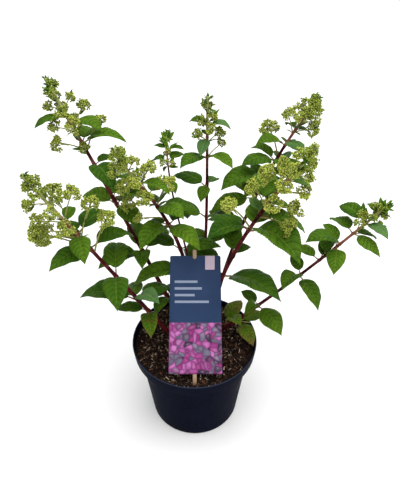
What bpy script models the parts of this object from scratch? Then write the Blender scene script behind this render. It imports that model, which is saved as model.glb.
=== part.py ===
"""Potted panicle hydrangea in bud: a nursery pot, its compost, a label on a stick and eight flowering canes.

Metres, Z up. The origin is the centre of the pot's flat underside, and the front of the plant faces -Y.
"""
import math

import bmesh
import bpy
import numpy as np
from mathutils import Matrix, Vector
from mathutils.bvhtree import BVHTree

SEED = 7
GAP = 0.0003

# Pot and compost
POT_HEIGHT = 0.150
RIM_RADIUS = 0.095
RIM_BAND = 0.019
BODY_TOP_RADIUS = 0.0842
BASE_RADIUS = 0.069
POT_WALL = 0.0015
POT_FLOOR = 0.0030
DRAIN_HOLES = 8
DRAIN_RADIUS = 0.0045
DRAIN_CIRCLE = 0.052
SOIL_LEVEL = 0.1405
SOIL_RELIEF = 0.0012

# Label and its stick
LABEL_FOOT = (0.0018, -0.0745, 0.156)
LABEL_LEAN = 33
LABEL_LENGTH = 0.1695
LABEL_WIDTH_LOW = 0.0765
LABEL_WIDTH_HIGH = 0.0703
LABEL_THICKNESS = 0.0010
STICK_WIDTH = 0.0055
STICK_THICKNESS = 0.0018
STICK_BELOW = 0.0170
STICK_ABOVE = 0.0085
NOTCH_DEPTH = 0.0045

# Crown of old wood that carries the canes
CROWN_CENTRE = (0.003, 0.012, 0.1450)
CROWN_SIZE = (0.020, 0.015, 0.0065)
FOOT_LEVEL = 0.1535

# Leaf shape: outline powers, share of the length that is stalk, width to length, fold of each half
OUTLINE = (0.62, 1.0)
STALK_SHARE = 0.20
LEAF_WIDTH = 0.60
LEAF_FOLD = 0.32
LEAF_STATIONS = (0.15, 0.42, 0.75)
LEAF_THICKNESS = 0.0013
CLEARANCE = 0.0012

# Lift of a spray's stalk away from its cane
SPRAY_LIFT = 42

# Canes. Foot in mm, lean from upright and heading from +X in degrees at foot and tip, length and thickness
# in mm, then the shares of the length where the bare limb ends and the flower head begins.
# A row of nodes is the share of the length, the blade length in mm, the rise in degrees and the headings of
# the leaves that grow there. The flower head has a turn round the cane, a number of pairs of sprays, the
# reach of the lowest in mm and the radius of its bunch of buds in mm. A side spray lower down has a share,
# a turn, a reach, a number of heads and a radius.
CANES = {
    "left_low": {
        "foot": (-34, 0), "lean": (27, 27), "heading": (202, 201), "length": 361, "thickness": (6.4, 3.8),
        "bare": 0.17, "bloom": 0.66, "flower": (20, 7, 46, 14),
        "side": ((0.63, 165, 57, 6, 17), (0.6, 13, 53, 5, 15), (0.715, 195, 48, 5, 12)),
        "nodes": (
            (0.21, 45, 20, (170, 277)), (0.29, 75, 25, (178,)), (0.29, 60, -5, (112,)),
            (0.3, 50, 55, (315,)), (0.3, 56, 10, (44,)), (0.455, 62, 30, (281, 98)),
            (0.62, 58, 30, (227,)), (0.63, 60, 12, (39,)), (0.665, 46, 4, (142,)),
            (0.705, 48, 20, (289,)), (0.705, 56, 22, (60,)), (0.705, 42, 10, (123,)),
            (0.765, 28, 34, (85,)),
        ),
    },
    "left_high": {
        "foot": (-14, 12), "lean": (27, 29), "heading": (152, 154), "length": 415, "thickness": (6.6, 4.0),
        "bare": 0.13, "bloom": 0.73, "flower": (20, 7, 42, 13),
        "side": ((0.75, 285, 9, 3, 9),),
        "nodes": (
            (0.165, 40, 25, (253,)), (0.165, 38, -5, (64,)), (0.165, 30, -16, (147,)),
            (0.35, 62, 20, (202, 63)), (0.35, 56, 38, (112,)), (0.36, 44, 34, (277,)),
            (0.55, 52, 20, (156,)), (0.55, 50, 15, (310,)), (0.55, 49, -8, (75,)), (0.57, 46, 8, (14,)),
            (0.57, 44, 25, (90,)), (0.7, 62, 22, (297,)), (0.7, 36, 12, (50,)), (0.78, 58, 32, (-16,)),
            (0.78, 55, 10, (87,)), (0.85, 46, 25, (335,)), (0.87, 40, 14, (200,)),
        ),
    },
    "front_left": {
        "foot": (-6, 6), "lean": (7, 40), "heading": (66, 278), "length": 370, "thickness": (6.4, 3.5),
        "bare": 0.255, "bloom": 0.58, "flower": (15, 7, 37, 14),
        "side": ((0.545, 227, 44, 3, 9),),
        "nodes": (
            (0.295, 72, 16, (190,)), (0.295, 66, -5, (88,)), (0.4, 54, 25, (363, 160)),
            (0.515, 60, 22, (239, 311)), (0.515, 56, -5, (64,)), (0.515, 45, -8, (147,)),
            (0.6, 53, 40, (312,)), (0.605, 52, 10, (13,)), (0.605, 50, -5, (90,)),
            (0.67, 40, 18, (162, 66)), (0.75, 40, 7, (-17,)), (0.75, 40, 7, (136,)),
        ),
    },
    "back_small": {
        "foot": (-12, 26), "lean": (-15, 53), "heading": (174, 86), "length": 317, "thickness": (3.3, 2.2),
        "bare": 0.62, "bloom": 0.82, "flower": (25, 3, 8, 6),
        "side": (),
        "nodes": (
            (0.78, 22, 5, (292,)), (0.87, 29, -4, (148,)), (0.87, 29, 20, (44,)),
            (0.92, 22, 16, (141,)), (0.92, 22, 24, (360,)),
        ),
    },
    "middle": {
        "foot": (4, 18), "lean": (29, -3), "heading": (72, 98), "length": 358, "thickness": (5.4, 3.3),
        "bare": 0.335, "bloom": 0.8, "flower": (15, 5, 22, 9),
        "side": ((0.757, 15, 27, 3, 7),),
        "nodes": (
            (0.38, 38, 29, (121, 36)), (0.5, 61, 40, (183, 311)), (0.5, 48, -5, (42,)),
            (0.63, 53, 25, (144,)), (0.64, 30, 10, (255, 60)), (0.757, 49, 31, (225, 311)),
            (0.837, 31, 2, (256,)), (0.837, 29, 10, (87,)), (0.888, 29, 13, (142, 355)),
        ),
    },
    "right_high": {
        "foot": (22, 15), "lean": (19.5, 36.5), "heading": (58, 15), "length": 382, "thickness": (6.2, 3.3),
        "bare": 0.53, "bloom": 0.835, "flower": (150, 7, 28, 12),
        "side": ((0.75, 150, 39, 6, 16),),
        "nodes": (
            (0.578, 60, 10, (188,)), (0.578, 56, -5, (88,)), (0.578, 45, 30, (135,)),
            (0.638, 38, 20, (232,)), (0.638, 36, 10, (39,)), (0.638, 28, 10, (159,)),
            (0.638, 36, 50, (111,)), (0.663, 66, 28, (210, 10)), (0.663, 60, -5, (88,)),
            (0.733, 54, 36, (212, 292)), (0.733, 50, -5, (60,)), (0.733, 40, 30, (139,)),
            (0.8, 42, 38, (204, 294)), (0.8, 40, -8, (75,)), (0.864, 28, 11, (110,)),
            (0.864, 27, -6, (27,)),
        ),
    },
    "front_right": {
        "foot": (16, 10), "lean": (8, 39), "heading": (17, -78), "length": 409, "thickness": (6.5, 3.9),
        "bare": 0.25, "bloom": 0.612, "flower": (160, 8, 38, 14),
        "side": ((0.53, 202, 70, 6, 14), (0.59, 311, 50, 6, 14)),
        "nodes": (
            (0.287, 90, 29, (321,)), (0.287, 72, 25, (136,)), (0.386, 46, 45, (91,)),
            (0.386, 34, 14, (45,)), (0.52, 88, 33, (302,)), (0.52, 72, 10, (64,)),
            (0.525, 60, 35, (213,)), (0.525, 62, 10, (142,)), (0.595, 66, -4, (369,)),
            (0.595, 50, 10, (87,)), (0.65, 62, 25, (90,)), (0.65, 55, -8, (55,)), (0.79, 30, -2, (1,)),
            (0.79, 30, -6, (199,)),
        ),
    },
    "right_low": {
        "foot": (36, 8), "lean": (43, 39), "heading": (-6, 2), "length": 323, "thickness": (5.4, 3.2),
        "bare": 0.22, "bloom": 0.85, "flower": (150, 4, 17, 9),
        "side": ((0.827, 216, 24, 3, 8),),
        "nodes": (
            (0.261, 54, 17, (302,)), (0.265, 32, 36, (229, 136)), (0.511, 50, 43, (236,)),
            (0.515, 54, 7, (291,)), (0.52, 32, 44, (106,)), (0.63, 44, 11, (137,)),
            (0.63, 42, 25, (58,)), (0.66, 34, 33, (83,)), (0.726, 44, 11, (258,)),
            (0.726, 35, 55, (120,)), (0.741, 53, 50, (204,)), (0.813, 45, 15, (118, 306)),
            (0.813, 40, -8, (20,)), (0.878, 44, 22, (124,)), (0.878, 38, 26, (301,)),
            (0.935, 20, 32, (109,)),
        ),
    },
    "low_shoot": {
        "foot": (18, 6), "lean": (60, 80), "heading": (25, -25), "length": 72, "thickness": (3.0, 1.6),
        "bare": 0, "bloom": 1, "flower": (0, 0, 0, 0),
        "side": (),
        "nodes": (
            (0.45, 48, 33, (59,)), (0.55, 44, 66, (296,)), (0.75, 44, 16, (292, 20)),
        ),
    },
}


def unit(vector):
    """The vector at length one."""
    return vector / np.linalg.norm(vector, axis=-1, keepdims=True)


def cane_line(cane, count=61):
    """Centre line of a cane: lean and heading change evenly from foot to tip, and the steps are summed."""
    t = np.linspace(0, 1, count)
    lean = np.radians(cane["lean"][0] + (cane["lean"][1] - cane["lean"][0]) * t)
    heading = np.radians(cane["heading"][0] + (cane["heading"][1] - cane["heading"][0]) * t)
    way = np.stack([np.sin(lean) * np.cos(heading), np.sin(lean) * np.sin(heading), np.cos(lean)], axis=1)
    steps = (way[1:] + way[:-1]) / 2 * cane["length"] / 1000 / (count - 1)
    foot = np.array([cane["foot"][0] / 1000, cane["foot"][1] / 1000, FOOT_LEVEL])
    return foot + np.concatenate([np.zeros((1, 3)), np.cumsum(steps, axis=0)])


def point_at(line, t):
    """Point at the share t of a centre line."""
    x = t * (len(line) - 1)
    i = min(int(x), len(line) - 2)
    return line[i] + (line[i + 1] - line[i]) * (x - i)


def frame_at(line, t):
    """Directions along the cane, to its right and to its back at the share t."""
    along = unit(point_at(line, min(t + 0.01, 1)) - point_at(line, max(t - 0.01, 0)))
    right = unit(np.cross([0, 1, 0], along))
    return along, right, np.cross(along, right)


def cane_radius(cane, t):
    """Radius that tapers to the tip and swells a little at every pair of leaves."""
    thick = cane["thickness"][0] + (cane["thickness"][1] - cane["thickness"][0]) * t
    swell = 0.0
    for row in cane["nodes"]:
        swell = max(swell, math.exp(-((t - row[0]) * cane["length"] / 4) ** 2))
    return thick / 2000 * (1 + 0.22 * swell)


def half_width(s):
    """Half the width of a blade at the share s of its length, 1 at the widest."""
    a, b = OUTLINE
    peak = (a / (a + b)) ** a * (b / (a + b)) ** b
    return s ** a * (1 - s) ** b / peak


def blade_frame(line, row):
    """Midrib of a blade as a function of s, with its side and upper directions.

    The slope starts at the rise and falls by the droop times s to the power 1.15.
    """
    share, heading, rise, droop, roll, length = row
    size = length / 1000
    s = np.linspace(0, 1, 41)
    slope = np.radians(rise - droop * s ** 1.15)
    run = np.concatenate([[0], np.cumsum((np.cos(slope[1:]) + np.cos(slope[:-1])) / 80)]) * size
    climb = np.concatenate([[0], np.cumsum((np.sin(slope[1:]) + np.sin(slope[:-1])) / 80)]) * size
    ahead = np.array([math.cos(math.radians(heading)), math.sin(math.radians(heading)), 0])
    side = np.array([-ahead[1], ahead[0], 0])
    up = np.array([0, 0, 1.0])
    root = point_at(line, share)
    lift = math.radians(rise)
    start = root + (ahead * math.cos(lift) + up * math.sin(lift)) * size * STALK_SHARE
    turn = math.radians(roll)

    def place(at):
        here = np.interp(at, s, slope)
        middle = start + np.interp(at, s, run) * ahead + np.interp(at, s, climb) * up
        normal = -math.sin(here) * ahead + math.cos(here) * up
        across = side * math.cos(turn) + normal * math.sin(turn)
        return middle, across, normal * math.cos(turn) - side * math.sin(turn)

    return root, start, size, place


def leaf_section(place, size, s, grow=0.0):
    """Left edge, upper middle, right edge and lower middle of a blade at s, in a shallow V."""
    middle, across, upper = place(s)
    half = LEAF_WIDTH * size / 2 * float(half_width(s)) + grow
    thick = LEAF_THICKNESS / 2 * (1.1 - 0.5 * s)
    wing = across * half * math.cos(LEAF_FOLD)
    raised = upper * half * math.sin(LEAF_FOLD)
    return middle + raised - wing, middle + upper * thick, middle + raised + wing, middle - upper * thick


def leaf_mesh(line, row):
    """Closed blade of a leaf: a base point, three sections and a tip, all in triangles."""
    root, start, size, place = blade_frame(line, row)
    bm = bmesh.new()
    base = bm.verts.new(start)
    rings = []
    for s in LEAF_STATIONS:
        rings.append([bm.verts.new(p) for p in leaf_section(place, size, s)])
    tip = bm.verts.new(place(1.0)[0])
    for k in range(4):
        n = (k + 1) % 4
        bm.faces.new((base, rings[0][n], rings[0][k]))
        for low, high in zip(rings, rings[1:]):
            bm.faces.new((low[k], low[n], high[n]))
            bm.faces.new((low[k], high[n], high[k]))
        bm.faces.new((tip, rings[-1][k], rings[-1][n]))
    bmesh.ops.recalc_face_normals(bm, faces=bm.faces)
    return bm


def leaf_probe(line, row):
    """The same blade made thicker and wider by the clearance, to test whether it would touch anything."""
    root, start, size, place = blade_frame(line, row)
    bm = bmesh.new()
    rings = []
    for s in (0.03,) + LEAF_STATIONS + (0.99,):
        left, upper, right, lower = leaf_section(place, size, s, CLEARANCE)
        lift = place(s)[2] * CLEARANCE
        ring = (left + lift, upper + lift, right + lift, right - lift, lower - lift, left - lift)
        rings.append([bm.verts.new(p) for p in ring])
    for low, high in zip(rings, rings[1:]):
        for k in range(6):
            n = (k + 1) % 6
            bm.faces.new((low[k], low[n], high[n]))
            bm.faces.new((low[k], high[n], high[k]))
    return bm


def rod_mesh(a, b, radius_a, radius_b, sides):
    """Straight tapering rod from a to b."""
    a = Vector(a)
    b = Vector(b)
    turn = (b - a).to_track_quat("Z", "Y").to_matrix().to_4x4()
    bm = bmesh.new()
    bmesh.ops.create_cone(bm, cap_ends=True, segments=sides, radius1=radius_a, radius2=radius_b,
                          depth=(b - a).length, matrix=Matrix.Translation((a + b) / 2) @ turn)
    return bm


def bunch_mesh(centre, way, radius, lobes, turn):
    """Bunch of buds: a sphere whose surface swells into one lobe for each head, flatter underneath.

    The reach of a point is the radius times 0.55 plus 0.45 exp(-(angle to the nearest lobe / 0.5)^2).
    """
    first = unit(np.cross(way, [0.31, 0.17, 0.94]))
    second = np.cross(way, first)
    axes = []
    for i in range(lobes):
        angle = turn + 2 * math.pi * i / lobes
        lift = 0.25 + 0.25 * (i % 2)
        axes.append(unit(first * math.cos(angle) + second * math.sin(angle) + way * lift))
    if lobes > 3:
        axes.append(way)
    axes = np.array(axes)
    bm = bmesh.new()
    bmesh.ops.create_icosphere(bm, subdivisions=2 if lobes > 3 else 1, radius=1)
    for vert in bm.verts:
        ray = np.array(vert.co)
        angle = math.acos(min(float((axes @ ray).max()), 1))
        reach = radius * (0.55 + 0.45 * math.exp(-(angle / 0.5) ** 2))
        reach *= 1 - 0.25 * max(0.0, -float(ray @ way))
        vert.co = centre + ray * reach
    return bm


def leaf_rows(cane, rng):
    """Leaves of a cane: share, heading, rise, droop, roll and blade length, with a little chance in each."""
    rows = []
    for share, length, rise, headings in cane["nodes"]:
        for heading in headings:
            droop = 50 + 0.3 * rise + rng.uniform(4, 16)
            chance = rng.uniform(-1, 1, 3)
            size = length * (1 + 0.03 * chance[2])
            rows.append((share, heading + 3 * chance[0], rise, droop, 7 * chance[1], size))
    return rows


def spray_rows(cane, rng):
    """Sprays of buds: side sprays as stated, then crossed pairs that shorten towards the tip of the head."""
    rows = list(cane["side"])
    turn, pairs, reach, radius = cane["flower"]
    for i in range(pairs):
        u = (i + 0.2) / pairs
        share = cane["bloom"] + (1 - cane["bloom"]) * (0.04 + 0.90 * u)
        for side in (0, 180):
            angle = turn + 90 * i + side + rng.uniform(-10, 10)
            length = reach * (1 - u) ** 0.8 * rng.uniform(0.85, 1.1)
            size = radius * (1 - 0.52 * u) * rng.uniform(0.90, 1.10)
            rows.append((share + 0.007 * (side > 0), angle, length, 5 if size > 15 else 3, size))
    if pairs > 1:
        rows.append((0.955, turn, 2, 3, radius * 0.44))
        rows.append((0.985, turn, 1, 3, radius * 0.34))
    return rows


def spray_parts(line, row):
    """Root, tip and direction of a spray's stalk."""
    share, turn, reach, count, radius = row
    along, right, back = frame_at(line, share)
    psi = math.radians(turn)
    out = right * math.cos(psi) + back * math.sin(psi)
    lift = math.radians(SPRAY_LIFT)
    way = out * math.cos(lift) + along * math.sin(lift)
    root = point_at(line, share)
    return root, root + way * reach / 1000, way


def new_object(name, bm):
    """Object from a bmesh, linked to the part's collection."""
    mesh = bpy.data.meshes.new(name)
    bm.to_mesh(mesh)
    bm.free()
    obj = bpy.data.objects.new(name, mesh)
    PART.objects.link(obj)
    return obj


def tube_object(name, points, radii, resolution):
    """Tube through points with a radius at each, from a curve with a round bevel and filled caps."""
    curve = bpy.data.curves.new(name, "CURVE")
    curve.dimensions = "3D"
    curve.bevel_depth = 1.0
    curve.bevel_resolution = resolution
    curve.use_fill_caps = True
    spline = curve.splines.new("POLY")
    spline.points.add(len(points) - 1)
    for target, point, radius in zip(spline.points, points, radii):
        target.co = (point[0], point[1], point[2], 1)
        target.radius = radius
    source = bpy.data.objects.new(name + "_curve", curve)
    PART.objects.link(source)
    bpy.context.view_layer.update()
    mesh = bpy.data.meshes.new_from_object(source.evaluated_get(bpy.context.evaluated_depsgraph_get()))
    bpy.data.objects.remove(source)
    bm = bmesh.new()
    bm.from_mesh(mesh)
    bmesh.ops.remove_doubles(bm, verts=bm.verts, dist=0.00001)
    bmesh.ops.triangulate(bm, faces=bm.faces)
    bmesh.ops.recalc_face_normals(bm, faces=bm.faces)
    bpy.data.meshes.remove(mesh)
    return new_object(name, bm)


def cane_span(name, cane, line, low, high, spacing, resolution):
    """Piece of a cane between two shares of its length, with a flush end at each."""
    count = max(2, int(round((high - low) * cane["length"] / spacing))) + 1
    shares = np.linspace(low, high, count)
    points = [point_at(line, t) for t in shares]
    return tube_object(name, points, [cane_radius(cane, t) for t in shares], resolution)


def apply_modifiers(obj):
    """The object's mesh with its modifiers applied."""
    bpy.context.view_layer.update()
    mesh = bpy.data.meshes.new_from_object(obj.evaluated_get(bpy.context.evaluated_depsgraph_get()))
    obj.modifiers.clear()
    obj.data = mesh


def smooth(obj, angle):
    """Smooth shading with sharp edges above an angle in degrees."""
    obj.data.shade_smooth()
    obj.data.set_sharp_from_angle(angle=math.radians(angle))


def keep_largest(obj):
    """Drops loose scraps and the skin of sealed hollows, keeping the one outer body."""
    bm = bmesh.new()
    bm.from_mesh(obj.data)
    bm.verts.ensure_lookup_table()
    left = set(bm.verts)
    bodies = []
    while left:
        stack = [left.pop()]
        body = set(stack)
        while stack:
            vert = stack.pop()
            for edge in vert.link_edges:
                other = edge.other_vert(vert)
                if other in left:
                    left.discard(other)
                    body.add(other)
                    stack.append(other)
        bodies.append(body)
    bodies.sort(key=len)
    for body in bodies[:-1]:
        bmesh.ops.delete(bm, geom=list(body), context="VERTS")
    bmesh.ops.triangulate(bm, faces=bm.faces)
    bm.to_mesh(obj.data)
    bm.free()
    return len(bodies) - 1


def fuse(stem, pieces, solver="EXACT"):
    """One Boolean union of a stem with a collection of pieces, applied, with the pieces removed."""
    group = bpy.data.collections.new(stem.name + "_pieces")
    bpy.context.scene.collection.children.link(group)
    for piece in pieces:
        PART.objects.unlink(piece)
        group.objects.link(piece)
    union = stem.modifiers.new("union", "BOOLEAN")
    union.operation = "UNION"
    union.operand_type = "COLLECTION"
    union.collection = group
    union.solver = solver
    apply_modifiers(stem)
    for piece in pieces:
        bpy.data.objects.remove(piece)
    bpy.data.collections.remove(group)
    scraps = keep_largest(stem)
    print(stem.name, "pieces", len(pieces), "scraps", scraps, "triangles", len(stem.data.polygons))
    return stem


def plain_material(name, colour, roughness, metallic=0.0):
    """Principled material with a plain base colour."""
    material = bpy.data.materials.new(name)
    material.use_nodes = True
    shader = material.node_tree.nodes["Principled BSDF"]
    shader.inputs["Base Color"].default_value = (*colour, 1)
    shader.inputs["Roughness"].default_value = roughness
    shader.inputs["Metallic"].default_value = metallic
    return material


def screw_object(name, profile, steps):
    """Body of revolution from a profile of radius and height."""
    mesh = bpy.data.meshes.new(name)
    mesh.from_pydata([(r, 0, z) for r, z in profile], [(i, i + 1) for i in range(len(profile) - 1)], [])
    obj = bpy.data.objects.new(name, mesh)
    PART.objects.link(obj)
    screw = obj.modifiers.new("screw", "SCREW")
    screw.axis = "Z"
    screw.steps = steps
    screw.render_steps = steps
    screw.use_merge_vertices = True
    screw.merge_threshold = 0.00001
    screw.use_normal_calculate = True
    return obj


def build_pot():
    """Thin-walled nursery pot with a stepped rim band, a flat floor and drain holes."""
    band = POT_HEIGHT - RIM_BAND
    profile = (
        (0, POT_FLOOR),
        (BASE_RADIUS - 0.0030, POT_FLOOR),
        (BASE_RADIUS - 0.0014, POT_FLOOR + 0.0020),
        (BODY_TOP_RADIUS - POT_WALL, band - 0.0015),
        (RIM_RADIUS - 0.0020 - POT_WALL, band + 0.0015),
        (RIM_RADIUS - 0.0018, POT_HEIGHT - 0.0008),
        (RIM_RADIUS - 0.0010, POT_HEIGHT),
        (RIM_RADIUS - 0.0003, POT_HEIGHT - 0.0002),
        (RIM_RADIUS, POT_HEIGHT - 0.0012),
        (RIM_RADIUS - 0.0020, band),
        (BODY_TOP_RADIUS + 0.0004, band - 0.0018),
        (BODY_TOP_RADIUS, band - 0.0040),
        (BASE_RADIUS + 0.0004, 0.0030),
        (BASE_RADIUS - 0.0016, 0),
        (0, 0),
    )
    pot = screw_object("pot", profile, 40)
    cutter_bm = bmesh.new()
    for i in range(DRAIN_HOLES):
        angle = 2 * math.pi * (i + 0.5) / DRAIN_HOLES
        spot = (DRAIN_CIRCLE * math.cos(angle), DRAIN_CIRCLE * math.sin(angle), POT_FLOOR / 2)
        bmesh.ops.create_cone(cutter_bm, cap_ends=True, segments=10, radius1=DRAIN_RADIUS,
                              radius2=DRAIN_RADIUS, depth=0.02, matrix=Matrix.Translation(spot))
    cutter = new_object("drain_cutter", cutter_bm)
    PART.objects.unlink(cutter)
    CUTTERS.objects.link(cutter)
    cutter.hide_render = True
    cutter.display_type = "WIRE"
    drains = pot.modifiers.new("drains", "BOOLEAN")
    drains.operation = "DIFFERENCE"
    drains.object = cutter
    drains.solver = "EXACT"
    apply_modifiers(pot)
    smooth(pot, 30)
    pot.data.materials.append(plain_material("pot_plastic", (0.012, 0.014, 0.020), 0.42))
    return pot


def build_soil():
    """Compost that fills the pot to just under the rim, flat round the crown and uneven elsewhere."""
    band = POT_HEIGHT - RIM_BAND
    edge = RIM_RADIUS - 0.0021 - POT_WALL - GAP
    profile = [(0, SOIL_LEVEL)]
    for radius in (0.022, 0.042, 0.057, 0.070, 0.082):
        profile.append((radius, SOIL_LEVEL))
    profile += [
        (edge, SOIL_LEVEL),
        (edge, band + 0.0024),
        (BODY_TOP_RADIUS - POT_WALL - GAP - 0.0003, band - 0.0007),
        (BASE_RADIUS - 0.0014 - GAP - 0.0004, POT_FLOOR + 0.0030),
        (BASE_RADIUS - 0.0034 - GAP, POT_FLOOR + GAP + 0.0001),
        (0, POT_FLOOR + GAP + 0.0001),
    ]
    soil = screw_object("soil", profile, 30)
    apply_modifiers(soil)
    for vert in soil.data.vertices:
        x, y, z = vert.co
        radius = math.hypot(x, y)
        if z > SOIL_LEVEL - 0.0005:
            away = min(max((radius - 0.030) / 0.020, 0), 1)
            front = min(max((math.hypot(x, y + 0.081) - 0.008) / 0.010, 0), 1)
            wave = math.sin(83 * x + 2) * math.cos(97 * y + 1) + 0.6 * math.sin(190 * x - 150 * y)
            vert.co.z += SOIL_RELIEF * wave * away * front
    smooth(soil, 35)
    soil.data.materials.append(plain_material("compost", (0.030, 0.019, 0.013), 0.95))
    return soil


def lean_matrix():
    """Placement of the label: its foot, leaning back."""
    return Matrix.Translation(LABEL_FOOT) @ Matrix.Rotation(-math.radians(LABEL_LEAN), 4, "X")


def slab_object(name, outline, back, thickness):
    """Flat plate from an outline of x and z, its back face at y = back, moved to the label's place."""
    bm = bmesh.new()
    face = bm.faces.new([bm.verts.new((x, back, z)) for x, z in outline])
    made = bmesh.ops.extrude_face_region(bm, geom=[face])
    moved = [item for item in made["geom"] if isinstance(item, bmesh.types.BMVert)]
    bmesh.ops.translate(bm, verts=moved, vec=(0, -thickness, 0))
    bmesh.ops.recalc_face_normals(bm, faces=bm.faces)
    bmesh.ops.transform(bm, matrix=lean_matrix(), verts=bm.verts)
    return new_object(name, bm)


def build_label():
    """Printed card with a notch at its top edge, through which the stick shows."""
    low = LABEL_WIDTH_LOW / 2
    high = LABEL_WIDTH_HIGH / 2
    notch = STICK_WIDTH / 2 + 0.0005
    cut = 0.0012
    outline = (
        (-low + cut, 0), (low - cut, 0), (low, cut), (high, LABEL_LENGTH - cut), (high - cut, LABEL_LENGTH),
        (notch - 0.001, LABEL_LENGTH), (notch - 0.001, LABEL_LENGTH - NOTCH_DEPTH),
        (-notch - 0.001, LABEL_LENGTH - NOTCH_DEPTH), (-notch - 0.001, LABEL_LENGTH),
        (-high + cut, LABEL_LENGTH), (-high, LABEL_LENGTH - cut), (-low, cut),
    )
    card = slab_object("label_card", outline, 0, LABEL_THICKNESS)
    card.data.materials.append(plain_material("label_print", (0.06, 0.10, 0.20), 0.35))
    return card


def build_stick():
    """Wooden stick behind the card, from just above the compost to above the card's top edge."""
    half = STICK_WIDTH / 2
    top = LABEL_LENGTH + STICK_ABOVE
    outline = (
        (-half - 0.001, -STICK_BELOW), (half - 0.001, -STICK_BELOW), (half - 0.001, top - 0.0015),
        (half - 0.0022, top), (-half + 0.0002, top), (-half - 0.001, top - 0.0015),
    )
    stick = slab_object("label_stick", outline, GAP + STICK_THICKNESS, STICK_THICKNESS)
    stick.data.materials.append(plain_material("stick_wood", (0.62, 0.47, 0.32), 0.7))
    return stick


def build_crown(lines):
    """Knob of old wood on the compost with a short arm up to the foot of each cane."""
    centre = Vector(CROWN_CENTRE)
    bm = bmesh.new()
    matrix = Matrix.Translation(centre) @ Matrix.Diagonal((*CROWN_SIZE, 1))
    bmesh.ops.create_icosphere(bm, subdivisions=2, radius=1, matrix=matrix)
    geometry = list(bm.verts) + list(bm.edges) + list(bm.faces)
    floor = (0, 0, SOIL_LEVEL + GAP)
    cut = bmesh.ops.bisect_plane(bm, geom=geometry, plane_co=floor, plane_no=(0, 0, 1), clear_inner=True)
    rim = [item for item in cut["geom_cut"] if isinstance(item, bmesh.types.BMEdge)]
    bmesh.ops.contextual_create(bm, geom=rim)
    bmesh.ops.triangulate(bm, faces=bm.faces)
    bmesh.ops.recalc_face_normals(bm, faces=bm.faces)
    crown = new_object("crown", bm)
    arms = []
    for name, line in lines.items():
        way = unit(line[1] - line[0])
        radius = CANES[name]["thickness"][0] / 2000
        middle = np.array(centre)
        middle[2] = SOIL_LEVEL + 0.0050
        start = line[0] - way * 0.0055
        start[2] = max(start[2], SOIL_LEVEL + radius * 1.15 + 0.0008)
        points = [middle * 0.8 + start * 0.2, start, line[0] - way * GAP]
        arms.append(tube_object(name + "_arm", points, [radius * 1.3, radius * 1.15, radius], 1))
    fuse(crown, arms)
    smooth(crown, 50)
    crown.data.materials.append(plain_material("old_wood", (0.15, 0.075, 0.045), 0.8))
    return crown


def tree_of(bm):
    """Search tree of a bmesh with the bounds of its vertices."""
    points = np.array([vert.co for vert in bm.verts])
    return BVHTree.FromBMesh(bm), points.min(axis=0), points.max(axis=0)


def touches(probe, placed):
    """Whether a probe's surface crosses anything already placed."""
    tree, low, high = probe
    for other, other_low, other_high in placed:
        if (low <= other_high).all() and (high >= other_low).all() and tree.overlap(other):
            return True
    return False


def leaf_hits(line, row, placed):
    """Whether a leaf's blade or the free part of its stalk would touch anything already placed."""
    root, start, size, place = blade_frame(line, row)
    tuck = place(0.07)[0]
    blade = leaf_probe(line, row)
    stalk = rod_mesh(root + (tuck - root) * 0.4, tuck, 0.0013, 0.0011, 4)
    hit = touches(tree_of(blade), placed) or touches(tree_of(stalk), placed)
    blade.free()
    stalk.free()
    return hit


def probe_object(obj):
    """Search tree of a finished object."""
    bm = bmesh.new()
    mesh = bpy.data.meshes.new_from_object(obj.evaluated_get(bpy.context.evaluated_depsgraph_get()))
    bm.from_mesh(mesh)
    bmesh.ops.triangulate(bm, faces=bm.faces)
    tree = tree_of(bm)
    bm.free()
    bpy.data.meshes.remove(mesh)
    return tree


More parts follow.
